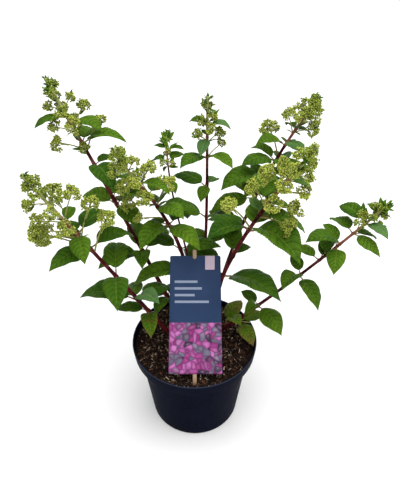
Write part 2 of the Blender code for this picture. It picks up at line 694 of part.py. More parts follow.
def build_canes(placed):
    """Bare limbs, leafy shoots and flower heads of all canes, each a node of its own."""
    lines = {name: cane_line(cane) for name, cane in CANES.items()}
    nodes = {}
    pieces = {}
    for name, cane in CANES.items():
        line = lines[name]
        slack = GAP / 2 / (cane["length"] / 1000)
        spans = {}
        if cane["bare"] > 0:
            spans["limb_" + name] = (0.0, cane["bare"] - slack)
        low = cane["bare"] + slack if cane["bare"] > 0 else 0.0
        high = cane["bloom"] - slack if cane["bloom"] < 1 else 1.0
        spans["leaves_" + name] = (low, high)
        if cane["bloom"] < 1:
            spans["blossom_" + name] = (cane["bloom"] + slack, 1.0)
        for key, (low, high) in spans.items():
            nodes[key] = cane_span(key, cane, line, low, high, 27, 1)
            pieces[key] = []
            placed.append(probe_object(nodes[key]))
    rng = np.random.default_rng(SEED)
    for name, cane in CANES.items():
        for row in spray_rows(cane, rng):
            root, tip, way = spray_parts(lines[name], row)
            key = ("blossom_" if row[0] >= cane["bloom"] else "leaves_") + name
            stalk = 0.0009 if row[2] > 12 else 0.0007
            made = [rod_mesh(root, tip, stalk * 1.3, stalk, 3)]
            made.append(bunch_mesh(tip, way, row[4] / 1000, row[3], rng.uniform(0, 6)))
            for bm in made:
                placed.append(tree_of(bm))
                pieces[key].append(new_object("piece", bm))
    skipped = 0
    for name, cane in CANES.items():
        for row in leaf_rows(cane, rng):
            if leaf_hits(lines[name], row, placed):
                skipped += 1
                print("skipped", name, row[0], round(row[1]))
                continue
            key = ("blossom_" if row[0] >= cane["bloom"] else "leaves_") + name
            root, start, size, place = blade_frame(lines[name], row)
            for bm in (leaf_mesh(lines[name], row), rod_mesh(root, place(0.07)[0], 0.0009, 0.0006, 3)):
                placed.append(tree_of(bm))
                pieces[key].append(new_object("piece", bm))
    print("leaves skipped", skipped)
    foliage = plain_material("foliage", (0.065, 0.16, 0.028), 0.55)
    blossom = plain_material("buds", (0.42, 0.48, 0.14), 0.6)
    bark = plain_material("cane_bark", (0.10, 0.022, 0.028), 0.5)
    for key, node in nodes.items():
        if pieces[key]:
            fuse(node, pieces[key])
        material = bark if key.startswith("limb") else blossom if key.startswith("blossom") else foliage
        smooth(node, 50 if key.startswith("limb") else 35)
        node.data.materials.clear()
        node.data.materials.append(material)
    return lines


for item in list(bpy.data.objects):
    bpy.data.objects.remove(item)
PART = bpy.data.collections.new("potted_hydrangea")
CUTTERS = bpy.data.collections.new("cutters")
bpy.context.scene.collection.children.link(PART)
bpy.context.scene.collection.children.link(CUTTERS)

build_pot()
build_soil()
label = build_label()
stick = build_stick()
bpy.context.view_layer.update()
obstacles = [probe_object(label), probe_object(stick), probe_object(bpy.data.objects["pot"])]
obstacles.append(probe_object(bpy.data.objects["soil"]))
centre_lines = build_canes(obstacles)
build_crown(centre_lines)
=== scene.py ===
# %% [markdown]
# # A potted panicle hydrangea in bud
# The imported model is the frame: a nursery pot with compost, a label on a stick, and eight flowering canes.
# Everything is in metres, Z is up, and the origin is the centre of the pot's underside.
# The plant could be dressed by scattering ready-made leaves, but then no leaf would hang where it belongs.
# Instead the growth rule of the source is written again here, and carried on to veins, stalks and buds.

# %% Load the frame
import math

import bmesh
import bpy
import numpy as np
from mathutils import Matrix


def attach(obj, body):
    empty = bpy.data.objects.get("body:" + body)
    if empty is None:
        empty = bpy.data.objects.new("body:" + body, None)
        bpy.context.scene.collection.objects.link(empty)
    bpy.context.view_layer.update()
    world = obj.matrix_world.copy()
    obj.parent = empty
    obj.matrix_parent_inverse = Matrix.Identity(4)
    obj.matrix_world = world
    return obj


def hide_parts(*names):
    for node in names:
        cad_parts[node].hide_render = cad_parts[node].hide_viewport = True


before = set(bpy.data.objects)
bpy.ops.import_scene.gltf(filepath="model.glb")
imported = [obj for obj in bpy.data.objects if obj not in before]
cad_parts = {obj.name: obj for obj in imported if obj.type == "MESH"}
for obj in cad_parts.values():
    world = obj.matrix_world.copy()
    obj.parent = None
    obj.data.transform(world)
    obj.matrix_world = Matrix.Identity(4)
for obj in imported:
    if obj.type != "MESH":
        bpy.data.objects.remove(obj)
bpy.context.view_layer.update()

# %% [markdown]
# ## The design values
# These are the values that the source was built from: pot, compost, label, crown of old wood, and the canes.
# A cane has a foot in mm, a lean from upright and a heading in degrees at foot and tip, a length and a
# thickness in mm, the shares where the bare limb ends and the flower head begins, and rows of leaves and
# sprays. Keeping them as one table lets limbs, leaves and buds share the same places.

# %% Design values
POT_HEIGHT, RIM_RADIUS, RIM_BAND = 0.150, 0.095, 0.019
BODY_TOP_RADIUS, BASE_RADIUS = 0.0842, 0.069
POT_WALL, POT_FLOOR = 0.0015, 0.0030
SOIL_LEVEL = 0.1405
FOOT_LEVEL = 0.1535
CROWN_CENTRE = np.array([0.003, 0.012, 0.1450])
CROWN_SIZE = np.array([0.020, 0.015, 0.0065])
LABEL_FOOT, LABEL_LEAN, LABEL_LENGTH = np.array([0.0018, -0.0745, 0.156]), 33, 0.1695
LABEL_WIDTH_LOW, LABEL_WIDTH_HIGH = 0.0765, 0.0703
STICK_WIDTH, STICK_THICKNESS = 0.0055, 0.0018
STICK_BELOW, STICK_ABOVE, NOTCH_DEPTH = 0.0170, 0.0085, 0.0045
OUTLINE, STALK_SHARE, LEAF_WIDTH = (0.62, 1.0), 0.20, 0.60
SPRAY_LIFT = 42

CANES = {
    "left_low": {
        "foot": (-34, 0), "lean": (27, 27), "heading": (202, 201), "length": 361, "thickness": (6.4, 3.8),
        "bare": 0.17, "bloom": 0.66, "flower": (20, 7, 46, 14),
        "side": ((0.63, 165, 57, 6, 17), (0.6, 13, 53, 5, 15), (0.715, 195, 48, 5, 12)),
        "nodes": (
            (0.21, 45, 20, (170, 277)), (0.29, 75, 25, (178,)), (0.29, 60, -5, (112,)),
            (0.3, 50, 55, (315,)), (0.3, 56, 10, (44,)), (0.455, 62, 30, (281, 98)),
            (0.62, 58, 30, (227,)), (0.63, 60, 12, (39,)), (0.665, 46, 4, (142,)),
            (0.705, 48, 20, (289,)), (0.705, 56, 22, (60,)), (0.705, 42, 10, (123,)),
            (0.765, 28, 34, (85,)),
        ),
    },
    "left_high": {
        "foot": (-14, 12), "lean": (27, 29), "heading": (152, 154), "length": 415, "thickness": (6.6, 4.0),
        "bare": 0.13, "bloom": 0.73, "flower": (20, 7, 42, 13),
        "side": ((0.75, 285, 9, 3, 9),),
        "nodes": (
            (0.165, 40, 25, (253,)), (0.165, 38, -5, (64,)), (0.165, 30, -16, (147,)),
            (0.35, 62, 20, (202, 63)), (0.35, 56, 38, (112,)), (0.36, 44, 34, (277,)),
            (0.55, 52, 20, (156,)), (0.55, 50, 15, (310,)), (0.55, 49, -8, (75,)), (0.57, 46, 8, (14,)),
            (0.57, 44, 25, (90,)), (0.7, 62, 22, (297,)), (0.7, 36, 12, (50,)), (0.78, 58, 32, (-16,)),
            (0.78, 55, 10, (87,)), (0.85, 46, 25, (335,)), (0.87, 40, 14, (200,)),
        ),
    },
    "front_left": {
        "foot": (-6, 6), "lean": (7, 40), "heading": (66, 278), "length": 370, "thickness": (6.4, 3.5),
        "bare": 0.255, "bloom": 0.58, "flower": (15, 7, 37, 14),
        "side": ((0.545, 227, 44, 3, 9),),
        "nodes": (
            (0.295, 72, 16, (190,)), (0.295, 66, -5, (88,)), (0.4, 54, 25, (363, 160)),
            (0.515, 60, 22, (239, 311)), (0.515, 56, -5, (64,)), (0.515, 45, -8, (147,)),
            (0.6, 53, 40, (312,)), (0.605, 52, 10, (13,)), (0.605, 50, -5, (90,)),
            (0.67, 40, 18, (162, 66)), (0.75, 40, 7, (-17,)), (0.75, 40, 7, (136,)),
        ),
    },
    "back_small": {
        "foot": (-12, 26), "lean": (-15, 53), "heading": (174, 86), "length": 317, "thickness": (3.3, 2.2),
        "bare": 0.62, "bloom": 0.82, "flower": (25, 3, 8, 6),
        "side": (),
        "nodes": (
            (0.78, 22, 5, (292,)), (0.87, 29, -4, (148,)), (0.87, 29, 20, (44,)),
            (0.92, 22, 16, (141,)), (0.92, 22, 24, (360,)),
        ),
    },
    "middle": {
        "foot": (4, 18), "lean": (29, -3), "heading": (72, 98), "length": 358, "thickness": (5.4, 3.3),
        "bare": 0.335, "bloom": 0.8, "flower": (15, 5, 22, 9),
        "side": ((0.757, 15, 27, 3, 7),),
        "nodes": (
            (0.38, 38, 29, (121, 36)), (0.5, 61, 40, (183, 311)), (0.5, 48, -5, (42,)),
            (0.63, 53, 25, (144,)), (0.64, 30, 10, (255, 60)), (0.757, 49, 31, (225, 311)),
            (0.837, 31, 2, (256,)), (0.837, 29, 10, (87,)), (0.888, 29, 13, (142, 355)),
        ),
    },
    "right_high": {
        "foot": (22, 15), "lean": (19.5, 36.5), "heading": (58, 15), "length": 382, "thickness": (6.2, 3.3),
        "bare": 0.53, "bloom": 0.835, "flower": (150, 7, 28, 12),
        "side": ((0.75, 150, 39, 6, 16),),
        "nodes": (
            (0.578, 60, 10, (188,)), (0.578, 56, -5, (88,)), (0.578, 45, 30, (135,)),
            (0.638, 38, 20, (232,)), (0.638, 36, 10, (39,)), (0.638, 28, 10, (159,)),
            (0.638, 36, 50, (111,)), (0.663, 66, 28, (210, 10)), (0.663, 60, -5, (88,)),
            (0.733, 54, 36, (212, 292)), (0.733, 50, -5, (60,)), (0.733, 40, 30, (139,)),
            (0.8, 42, 38, (204, 294)), (0.8, 40, -8, (75,)), (0.864, 28, 11, (110,)),
            (0.864, 27, -6, (27,)),
        ),
    },
    "front_right": {
        "foot": (16, 10), "lean": (8, 39), "heading": (17, -78), "length": 409, "thickness": (6.5, 3.9),
        "bare": 0.25, "bloom": 0.612, "flower": (160, 8, 38, 14),
        "side": ((0.53, 202, 70, 6, 14), (0.59, 311, 50, 6, 14)),
        "nodes": (
            (0.287, 90, 29, (321,)), (0.287, 72, 25, (136,)), (0.386, 46, 45, (91,)),
            (0.386, 34, 14, (45,)), (0.52, 88, 33, (302,)), (0.52, 72, 10, (64,)),
            (0.525, 60, 35, (213,)), (0.525, 62, 10, (142,)), (0.595, 66, -4, (369,)),
            (0.595, 50, 10, (87,)), (0.65, 62, 25, (90,)), (0.65, 55, -8, (55,)), (0.79, 30, -2, (1,)),
            (0.79, 30, -6, (199,)),
        ),
    },
    "right_low": {
        "foot": (36, 8), "lean": (43, 39), "heading": (-6, 2), "length": 323, "thickness": (5.4, 3.2),
        "bare": 0.22, "bloom": 0.85, "flower": (150, 4, 17, 9),
        "side": ((0.827, 216, 24, 3, 8),),
        "nodes": (
            (0.261, 54, 17, (302,)), (0.265, 32, 36, (229, 136)), (0.511, 50, 43, (236,)),
            (0.515, 54, 7, (291,)), (0.52, 32, 44, (106,)), (0.63, 44, 11, (137,)),
            (0.63, 42, 25, (58,)), (0.66, 34, 33, (83,)), (0.726, 44, 11, (258,)),
            (0.726, 35, 55, (120,)), (0.741, 53, 50, (204,)), (0.813, 45, 15, (118, 306)),
            (0.813, 40, -8, (20,)), (0.878, 44, 22, (124,)), (0.878, 38, 26, (301,)),
            (0.935, 20, 32, (109,)),
        ),
    },
    "low_shoot": {
        "foot": (18, 6), "lean": (60, 80), "heading": (25, -25), "length": 72, "thickness": (3.0, 1.6),
        "bare": 0, "bloom": 1, "flower": (0, 0, 0, 0),
        "side": (),
        "nodes": (
            (0.45, 48, 33, (59,)), (0.55, 44, 66, (296,)), (0.75, 44, 16, (292, 20)),
        ),
    },
}
print("canes", len(CANES), "leaves", sum(len(row[3]) for cane in CANES.values() for row in cane["nodes"]))

# %% [markdown]
# ## Points and frames on a cane
# A cane bends evenly, so its lean and heading change evenly from foot to tip and the small steps are summed.
# A Bezier curve could be fitted by eye, but two angles and a length are easier to measure on a real cane.

# %% Cane centre lines
def unit(vector):
    """The vector at length one: each vector divided by its own length."""
    return vector / np.linalg.norm(vector, axis=-1, keepdims=True)


def together(x, y, z):
    """Vectors of three parts, each an array or a number, spread to one common shape."""
    return np.stack(np.broadcast_arrays(x, y, z), axis=-1)


def cane_line(cane, count=61):
    """Centre line: the running sum of short steps whose lean and heading change evenly from foot to tip."""
    t = np.linspace(0, 1, count)
    lean = np.radians(cane["lean"][0] + (cane["lean"][1] - cane["lean"][0]) * t)
    heading = np.radians(cane["heading"][0] + (cane["heading"][1] - cane["heading"][0]) * t)
    way = together(np.sin(lean) * np.cos(heading), np.sin(lean) * np.sin(heading), np.cos(lean))
    steps = (way[1:] + way[:-1]) / 2 * cane["length"] / 1000 / (count - 1)
    foot = np.array([cane["foot"][0] / 1000, cane["foot"][1] / 1000, FOOT_LEVEL])
    return foot + np.concatenate([np.zeros((1, 3)), np.cumsum(steps, axis=0)])


def points_at(line, t):
    """Points at the shares t of a centre line, each coordinate interpolated between its stations."""
    stations = np.linspace(0, 1, len(line))
    return np.stack([np.interp(t, stations, line[:, k]) for k in range(3)], axis=-1)


def frame_at(line, t):
    """Unit vectors along the cane, right of it and behind it: right is the cross product of Y and along."""
    t = np.asarray(t, float)
    along = unit(points_at(line, np.minimum(t + 0.01, 1)) - points_at(line, np.maximum(t - 0.01, 0)))
    right = unit(np.cross([0.0, 1.0, 0.0], along))
    return along, right, np.cross(along, right)


LINES = {name: cane_line(cane) for name, cane in CANES.items()}
print("tips", {name: [round(float(x), 3) for x in line[-1]] for name, line in LINES.items()})

# %% [markdown]
# ## The growth rule
# Leaves grow where the table says, each with a little chance in heading, roll and length.
# Sprays of buds grow in crossed pairs that shorten towards the tip, as the branches of a panicle do.
# The random numbers are drawn in the same order as in the source, so each leaf and spray keeps its place.

# %% Leaves and sprays of every cane
def leaf_rows(cane, rng):
    """Rows of share, heading, rise, droop, roll and blade length; droop is 50 + 0.3 rise + chance."""
    rows = []
    for share, length, rise, headings in cane["nodes"]:
        for heading in headings:
            droop = 50 + 0.3 * rise + rng.uniform(4, 16)
            chance = rng.uniform(-1, 1, 3)
            size = length * (1 + 0.03 * chance[2])
            rows.append((share, heading + 3 * chance[0], rise, droop, 7 * chance[1], size))
    return rows


def spray_rows(cane, rng):
    """Rows of share, turn, reach, heads and radius; the reach falls with (1 - u) to the power 0.8."""
    rows = list(cane["side"])
    turn, pairs, reach, radius = cane["flower"]
    for i in range(pairs):
        u = (i + 0.2) / pairs
        share = cane["bloom"] + (1 - cane["bloom"]) * (0.04 + 0.90 * u)
        for side in (0, 180):
            angle = turn + 90 * i + side + rng.uniform(-10, 10)
            length = reach * (1 - u) ** 0.8 * rng.uniform(0.85, 1.1)
            size = radius * (1 - 0.52 * u) * rng.uniform(0.90, 1.10)
            rows.append((share + 0.007 * (side > 0), angle, length, 5 if size > 15 else 3, size))
    if pairs > 1:
        rows.append((0.955, turn, 2, 3, radius * 0.44))
        rows.append((0.985, turn, 1, 3, radius * 0.34))
    return rows


rule = np.random.default_rng(7)
SPRAYS = {}
for name, cane in CANES.items():
    SPRAYS[name] = np.array(spray_rows(cane, rule)).reshape(-1, 5)
    rule.uniform(0, 6, len(SPRAYS[name]))  # the source turns its bunches by these, so they are drawn here too
LEAVES = {name: np.array(leaf_rows(cane, rule)) for name, cane in CANES.items()}
print("sprays", sum(map(len, SPRAYS.values())), "leaves", sum(map(len, LEAVES.values())))

# %% [markdown]
# ## From arrays to meshes
# Every new piece is a grid of points: rows along the piece, columns round or across it.
# Many small pieces, such as buds, are one array with a further axis, so thousands cost no Python loop.
# Ends that close to a point are merged afterwards, which leaves a clean pole instead of a folded face.

# %% Grid and mesh helpers
def grid_quads(count, rows, cols):
    """Quads of count grids of rows by cols points, where the last column joins the first."""
    index = np.arange(count * rows * cols).reshape(count, rows, cols)
    index = np.concatenate([index, index[:, :, :1]], axis=2)
    corners = (index[:, :-1, :-1], index[:, :-1, 1:], index[:, 1:, 1:], index[:, 1:, :-1])
    return np.stack(corners, axis=-1).reshape(-1, 4)


def join_grids(grids):
    """Points, quads, places and paints of several grids as one list each, with the quads counted on."""
    columns, total = [], 0
    for grid in grids:
        shape = grid["points"].shape
        values = [grid.get(key, 0.0) for key in ("points", "place", "paint")]
        points, place, paint = [np.broadcast_to(value, shape).reshape(-1, 3) for value in values]
        columns.append([points, grid_quads(*shape[:3]) + total, place, paint])
        total += math.prod(shape[:3])
    return [np.concatenate(column) for column in zip(*columns)]


def make_piece(name, grids, material, replaced=()):
    """Object from grids, with the vectors "place" and "paint" at its vertices, riding on the one body."""
    points, quads, place, paint = join_grids(grids)
    mesh = bpy.data.meshes.new(name)
    mesh.vertices.add(len(points))
    mesh.vertices.foreach_set("co", points.astype(np.float32).ravel())
    mesh.loops.add(quads.size)
    mesh.loops.foreach_set("vertex_index", quads.astype(np.int32).ravel())
    mesh.polygons.add(len(quads))
    mesh.polygons.foreach_set("loop_start", np.arange(0, quads.size, 4, dtype=np.int32))
    mesh.update(calc_edges=True)
    for title, values in (("place", place), ("paint", paint)):
        layer = mesh.attributes.new(title, "FLOAT_VECTOR", "POINT")
        layer.data.foreach_set("vector", values.astype(np.float32).ravel())
    bm = bmesh.new()
    bm.from_mesh(mesh)
    bmesh.ops.remove_doubles(bm, verts=bm.verts, dist=1e-7)
    bmesh.ops.dissolve_degenerate(bm, edges=bm.edges, dist=1e-8)
    bm.to_mesh(mesh)
    bm.free()
    mesh.shade_smooth()
    obj = bpy.data.objects.new(name, mesh)
    bpy.context.scene.collection.objects.link(obj)
    obj.data.materials.append(material)
    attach(obj, "root")
    if replaced:
        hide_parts(*replaced)
    mesh.calc_loop_triangles()
    print(name, "triangles", len(mesh.loop_triangles))


def tube_grid(centre, first, second, radius, sides):
    """Tubes: centre + radius (cos a first + sin a second), where first x second points along the tube."""
    angle = np.arange(sides) / sides * 2 * np.pi
    ring = np.cos(angle)[:, None] * first[:, :, None] + np.sin(angle)[:, None] * second[:, :, None]
    return {"points": centre[:, :, None] + radius[:, :, None, None] * ring}


def square_to(way):
    """Two unit vectors square to a direction and to each other, by cross products with a slanting vector."""
    first = unit(np.cross(way, [0.31, 0.17, 0.94]))
    return first, np.cross(way, first)


def across_frames(path):
    """Two unit vectors square to the direction of each path at each of its points."""
    return square_to(unit(np.gradient(path, axis=1) + 1e-12))


def doubled_ends(values):
    """Rows along a piece with the first and the last one twice, so that a radius of zero there closes it."""
    return np.concatenate([values[:, :1], values, values[:, -1:]], axis=1)


def bezier(start, bend, end, count):
    """Quadratic Bezier curves, count points each: start (1 - t)^2 + 2 bend t (1 - t) + end t^2."""
    t = np.linspace(0, 1, count)[:, None]
    start, bend, end = [corner[..., None, :] for corner in (start, bend, end)]
    return start * (1 - t) ** 2 + bend * 2 * t * (1 - t) + end * t ** 2


def waves(position, seed, scale, count=40):
    """Smooth relief from -1 to 1: the mean of count plane waves with random directions, over its spread."""
    rng = np.random.default_rng(seed)
    ways = unit(rng.normal(size=(count, 3))) * rng.uniform(0.6, 1.6, (count, 1)) / scale * 2 * np.pi
    shift = rng.uniform(0, 2 * np.pi, count)
    return np.sin(position @ ways.T + shift).sum(axis=-1) / np.sqrt(count * 2)


print("helpers ready")

# %% [markdown]
# ## Shader helpers
# All finishes are made of nodes, so they hold at any distance and need no picture.
# A recipe could name every node and link by itself. Here a small class remembers its node tree, and each of
# its methods adds one node and gives back the output to go on with, which keeps each recipe below readable.

# %% Node helpers
class Recipe:
    """A node tree with short methods that add one node each."""

    def __init__(self, tree):
        self.tree = tree

    def give(self, socket, value):
        """Link the socket to an output, or set its value; a plain colour has alpha 1."""
        if isinstance(value, bpy.types.NodeSocket):
            self.tree.links.new(value, socket)
        else:
            socket.default_value = (*value, 1) if socket.type == "RGBA" else value

    def add(self, kind, inputs=None, **settings):
        """A new node with its settings, and its inputs linked or set by name or number."""
        node = self.tree.nodes.new(kind)
        for key, value in settings.items():
            setattr(node, key, value)
        for key, value in (inputs or {}).items():
            self.give(node.inputs[key], value)
        return node

    def calc(self, operation, *values):
        """Result of a Math node on up to three values."""
        return self.add("ShaderNodeMath", dict(enumerate(values)), operation=operation).outputs[0]

    def times(self, first, second):
        """Product of two values."""
        return self.calc("MULTIPLY", first, second)

    def invert(self, value):
        """One minus the value."""
        return self.calc("SUBTRACT", 1.0, value)

    def step(self, value, low, high):
        """Smooth step: 0 below low, 1 above high."""
        inputs = {"Value": value, "From Min": low, "From Max": high}
        return self.add("ShaderNodeMapRange", inputs, interpolation_type="SMOOTHSTEP").outputs[0]

    def mix(self, factor, first, second):
        """Colour between two colours by a factor from 0 to 1."""
        return self.add("ShaderNodeMix", {0: factor, 6: first, 7: second}, data_type="RGBA").outputs[2]

    def coats(self, colour, *layers):
        """The colour under layers of mask, strength and colour, one over the other."""
        for mask, strength, coat in layers:
            colour = self.mix(self.times(mask, strength), colour, coat)
        return colour

    def vector(self, x, y, z=0.0):
        """Vector of three values."""
        return self.add("ShaderNodeCombineXYZ", {0: x, 1: y, 2: z}).outputs[0]

    def vectors(self, operation, first, second):
        """Result of a Vector Math node on two vectors."""
        return self.add("ShaderNodeVectorMath", {0: first, 1: second}, operation=operation).outputs[0]

    def parts(self, vector):
        """The three parts of a vector."""
        return self.add("ShaderNodeSeparateXYZ", {0: vector}).outputs[:]


def new_group(name, inputs, outputs):
    """Recipe of a node group with named sockets; returns it, its input sockets and its output sockets."""
    group = bpy.data.node_groups.new(name, "ShaderNodeTree")
    for title, kind, default in inputs:
        socket = group.interface.new_socket(title, in_out="INPUT", socket_type=kind)
        socket.default_value = default
    for title, kind in outputs:
        group.interface.new_socket(title, in_out="OUTPUT", socket_type=kind)
    enter, leave = group.nodes.new("NodeGroupInput"), group.nodes.new("NodeGroupOutput")
    return Recipe(group), enter.outputs, leave.inputs


print("node helpers ready")

# %% [markdown]
# ## Effects that several finishes share
# Living things are never one flat colour: a slow mottle changes the tone over a few millimetres.
# Leaves, bark, wood and plastic also have a fine grain that breaks up their highlights.
# Each material could carry its own copy of both. As node groups with named inputs they are written once, and
# each material only states its own scale and strength.

# %% Shared node groups
NUMBER, VECTOR = "NodeSocketFloat", "NodeSocketVector"
MOTTLE, enter, leave = new_group(
    "mottle",
    [("Position", VECTOR, (0, 0, 0)), ("Scale", NUMBER, 50.0), ("Shift", NUMBER, 0.0), ("Low", NUMBER, 0.35),
     ("High", NUMBER, 0.65)],
    [("Mask", NUMBER)],
)
moved = MOTTLE.vectors("ADD", enter["Position"], enter["Shift"])
noise = MOTTLE.add("ShaderNodeTexNoise", {"Vector": moved, "Scale": enter["Scale"], "Detail": 3.0})
MOTTLE.give(leave["Mask"], MOTTLE.step(noise.outputs["Fac"], enter["Low"], enter["High"]))

GRAIN, enter, leave = new_group(
    "grain",
    [("Position", VECTOR, (0, 0, 0)), ("Across", NUMBER, 900.0), ("Along", NUMBER, 900.0),
     ("Depth", NUMBER, 0.0002)],
    [("Height", NUMBER), ("Normal", VECTOR)],
)
stretch = GRAIN.vector(enter["Across"], enter["Across"], enter["Along"])
stretched = GRAIN.vectors("MULTIPLY", enter["Position"], stretch)
fibre = GRAIN.add("ShaderNodeTexNoise", {"Vector": stretched, "Scale": 1.0, "Detail": 4.0, "Roughness": 0.6})
dent = GRAIN.add("ShaderNodeBump", {"Height": fibre.outputs["Fac"], "Distance": enter["Depth"]})
GRAIN.give(leave["Height"], fibre.outputs["Fac"])
GRAIN.give(leave["Normal"], dent.outputs[0])


class Finish(Recipe):
    """A material with its shader and its Object coordinates, and the two shared effects."""

    def __init__(self, name, roughness, specular=0.5):
        self.material = bpy.data.materials.new(name)
        self.material.use_nodes = True
        super().__init__(self.material.node_tree)
        self.shader = self.tree.nodes["Principled BSDF"].inputs
        self.give(self.shader["Roughness"], roughness)
        self.give(self.shader["Specular IOR Level"], specular)
        self.position = self.add("ShaderNodeTexCoord").outputs["Object"]

    def stored(self, title):
        """The three parts of a vector that is stored at the vertices."""
        return self.parts(self.add("ShaderNodeAttribute", attribute_name=title).outputs["Vector"])

    def mottle(self, scale, low=0.35, high=0.65, shift=0.0):
        """Mask of the mottle at a number of spots per metre."""
        inputs = {"Position": self.position, "Scale": scale, "Shift": shift, "Low": low, "High": high}
        return self.add("ShaderNodeGroup", inputs, node_tree=MOTTLE.tree).outputs[0]

    def grain(self, across, along, depth):
        """Height and normal of the grain, with its numbers of fibres per metre and its depth in metres."""
        inputs = {"Position": self.position, "Across": across, "Along": along, "Depth": depth}
        return self.add("ShaderNodeGroup", inputs, node_tree=GRAIN.tree).outputs[:]

    def bump(self, height, distance, strength):
        """Normal of a relief of the given height, at most distance metres deep."""
        inputs = {"Height": height, "Distance": distance, "Strength": strength}
        return self.add("ShaderNodeBump", inputs).outputs[0]

    def done(self, colour, normal, roughness=None):
        """Hand the results to the shader and return the material."""
        self.give(self.shader["Base Color"], colour)
        self.give(self.shader["Normal"], normal)
        if roughness is not None:
            self.give(self.shader["Roughness"], roughness)
        return self.material


print("groups", [group.name for group in bpy.data.node_groups])

# %% [markdown]
# ## Leaf finish
# A hydrangea leaf is mid green above with sunken side veins and a paler, yellowish midrib, and bluish and
# paler below. Some small blades also get a painted bluish sheen above, mixed from the underside colour.
# The place on the blade is stored at the vertices: u across it and the row along it. The rows of the mesh
# follow the side veins, so the veins are lines of equal row. A few old leaves have brown spots and tips,
# which a stored amount of damage brings out.

# %% Leaf material
VEIN_PAIRS = 8


def leaf_material():
    """Green above and paler below, with veins by the stored place, and browning by the stored damage."""
    make = Finish("hydrangea_leaf", 0.5, 0.06)
    u, row, veined = make.stored("place")
    # under is 1 on the underside, and on some small tops it is the share of a painted bluish sheen
    tint, under, damage = make.stored("paint")
    side = make.calc("ABSOLUTE", u)
    phase = make.calc("FRACT", make.times(row, VEIN_PAIRS))
    from_vein = make.times(make.calc("ABSOLUTE", make.calc("SUBTRACT", phase, 0.5)), 2.0)
    vein = make.times(make.step(from_vein, 0.76, 0.97), veined)
    rib = make.invert(make.step(side, 0.010, 0.060))
    inputs = {"Vector": make.position, "Scale": 420.0}
    net = make.add("ShaderNodeTexVoronoi", inputs, feature="DISTANCE_TO_EDGE")
    mesh_line = make.times(make.invert(make.step(net.outputs["Distance"], 0.02, 0.22)), veined)
    broad, fine = make.mottle(38.0, shift=tint), make.mottle(240.0, 0.3, 0.7)
    tone = make.calc("ADD", make.times(tint, 0.70), make.times(broad, 0.30))
    top = make.coats(
        make.mix(tone, (0.0215, 0.0740, 0.0036), (0.1380, 0.2520, 0.0110)),
        # Above, the net and vein lines are darkened with painted shade where the veins sink into the blade
        (fine, 0.30, (0.024, 0.086, 0.006)), (mesh_line, 0.32, (0.012, 0.052, 0.004)),
        (vein, 0.34, (0.018, 0.055, 0.005)), (rib, 0.45, (0.17, 0.26, 0.035)),
    )
    below = make.coats(
        make.mix(tone, (0.050, 0.120, 0.052), (0.120, 0.235, 0.090)),
        (vein, 0.45, (0.19, 0.30, 0.120)), (rib, 0.6, (0.29, 0.34, 0.13)),
    )
    spots, patches = make.mottle(210.0, 0.56, 0.62), make.mottle(70.0, 0.44, 0.60)
    end = make.times(make.step(row, 0.66, 0.95), 1.6)
    edge = make.step(side, 0.72, 1.0)
    reach = make.calc("ADD", make.times(patches, 0.75), make.calc("ADD", end, edge))
    browning = make.times(make.times(damage, damage), reach)
    dotted = make.times(make.calc("MINIMUM", make.times(damage, 3.0), 1.0), spots)
    # On leaves this mask is only the browning of damage
    wear_and_highlight = make.calc("MINIMUM", make.calc("MAXIMUM", browning, make.times(dotted, 0.8)), 1.0)
    rust = make.mix(fine, (0.085, 0.036, 0.014), (0.24, 0.125, 0.040))
    colour = make.mix(wear_and_highlight, make.mix(under, top, below), rust)
    roughness = make.calc("MULTIPLY_ADD", fine, 0.10, make.calc("MULTIPLY_ADD", under, 0.22, 0.36))
    raised = make.calc("ADD", vein, make.times(mesh_line, 0.45))
    ridge = make.times(raised, make.calc("MULTIPLY_ADD", under, 2.0, -1.0))
    height = make.calc("MULTIPLY_ADD", fine, 0.40, ridge)
    return make.done(colour, make.bump(height, 0.00060, 0.9), roughness)


LEAF = leaf_material()
print("made", LEAF.name)

# %% [markdown]
# ## Bark, old wood, stalks and buds
# A hydrangea cane is dark burgundy where it has ripened and turns pinkish brown, then pale green, towards
# the flower head. It carries small pale pores that are longer than wide. The ripeness is stored at the
# vertices. Leaf stalks blush red at the cane, flower stalks are pale green, and the buds are lime, with
# painted shade at their foot and a painted highlight at their tip.

# %% Bark, wood, stalk and bud materials
def bark_material():
    """Burgundy to pink brown to green by ripeness, with pale pores and darker rings at the leaf scars."""
    make = Finish("cane_bark", 0.45, 0.03)
    ripe, turn, along = make.stored("place")
    tint, scar, _ = make.stored("paint")
    broad = make.mottle(60.0, shift=tint)
    shade = make.calc("ADD", ripe, make.calc("MULTIPLY_ADD", broad, 0.16, -0.08))
    colour = make.mix(broad, (0.036, 0.0036, 0.0054), (0.105, 0.0100, 0.0140))
    colour = make.mix(make.step(shade, 0.30, 0.58), colour, (0.245, 0.090, 0.062))
    colour = make.mix(make.step(shade, 0.60, 0.82), colour, (0.330, 0.345, 0.120))
    spot = make.vector(make.times(turn, 9.0), make.times(along, 260.0))
    cell = make.add("ShaderNodeTexVoronoi", {"Vector": spot, "Scale": 1.0, "Randomness": 1.0})
    pore = make.invert(make.step(cell.outputs["Distance"], 0.10, 0.22))
    colour = make.coats(colour, (pore, 0.55, (0.30, 0.19, 0.13)), (scar, 0.6, (0.045, 0.020, 0.013)))
    fibres, _ = make.grain(1400.0, 220.0, 0.00018)
    return make.done(colour, make.bump(make.calc("MULTIPLY_ADD", pore, 0.8, fibres), 0.00022, 0.7))


def old_wood_material():
    """Grey brown wood with peeling, darker cracks."""
    make = Finish("old_wood", 0.82, 0.15)
    broad, cracks = make.mottle(110.0), make.mottle(420.0, 0.52, 0.60)
    colour = make.mix(broad, (0.060, 0.026, 0.018), (0.170, 0.085, 0.052))
    colour = make.coats(colour, (cracks, 0.8, (0.020, 0.010, 0.007)))
    return make.done(colour, make.grain(700.0, 260.0, 0.0008)[1])


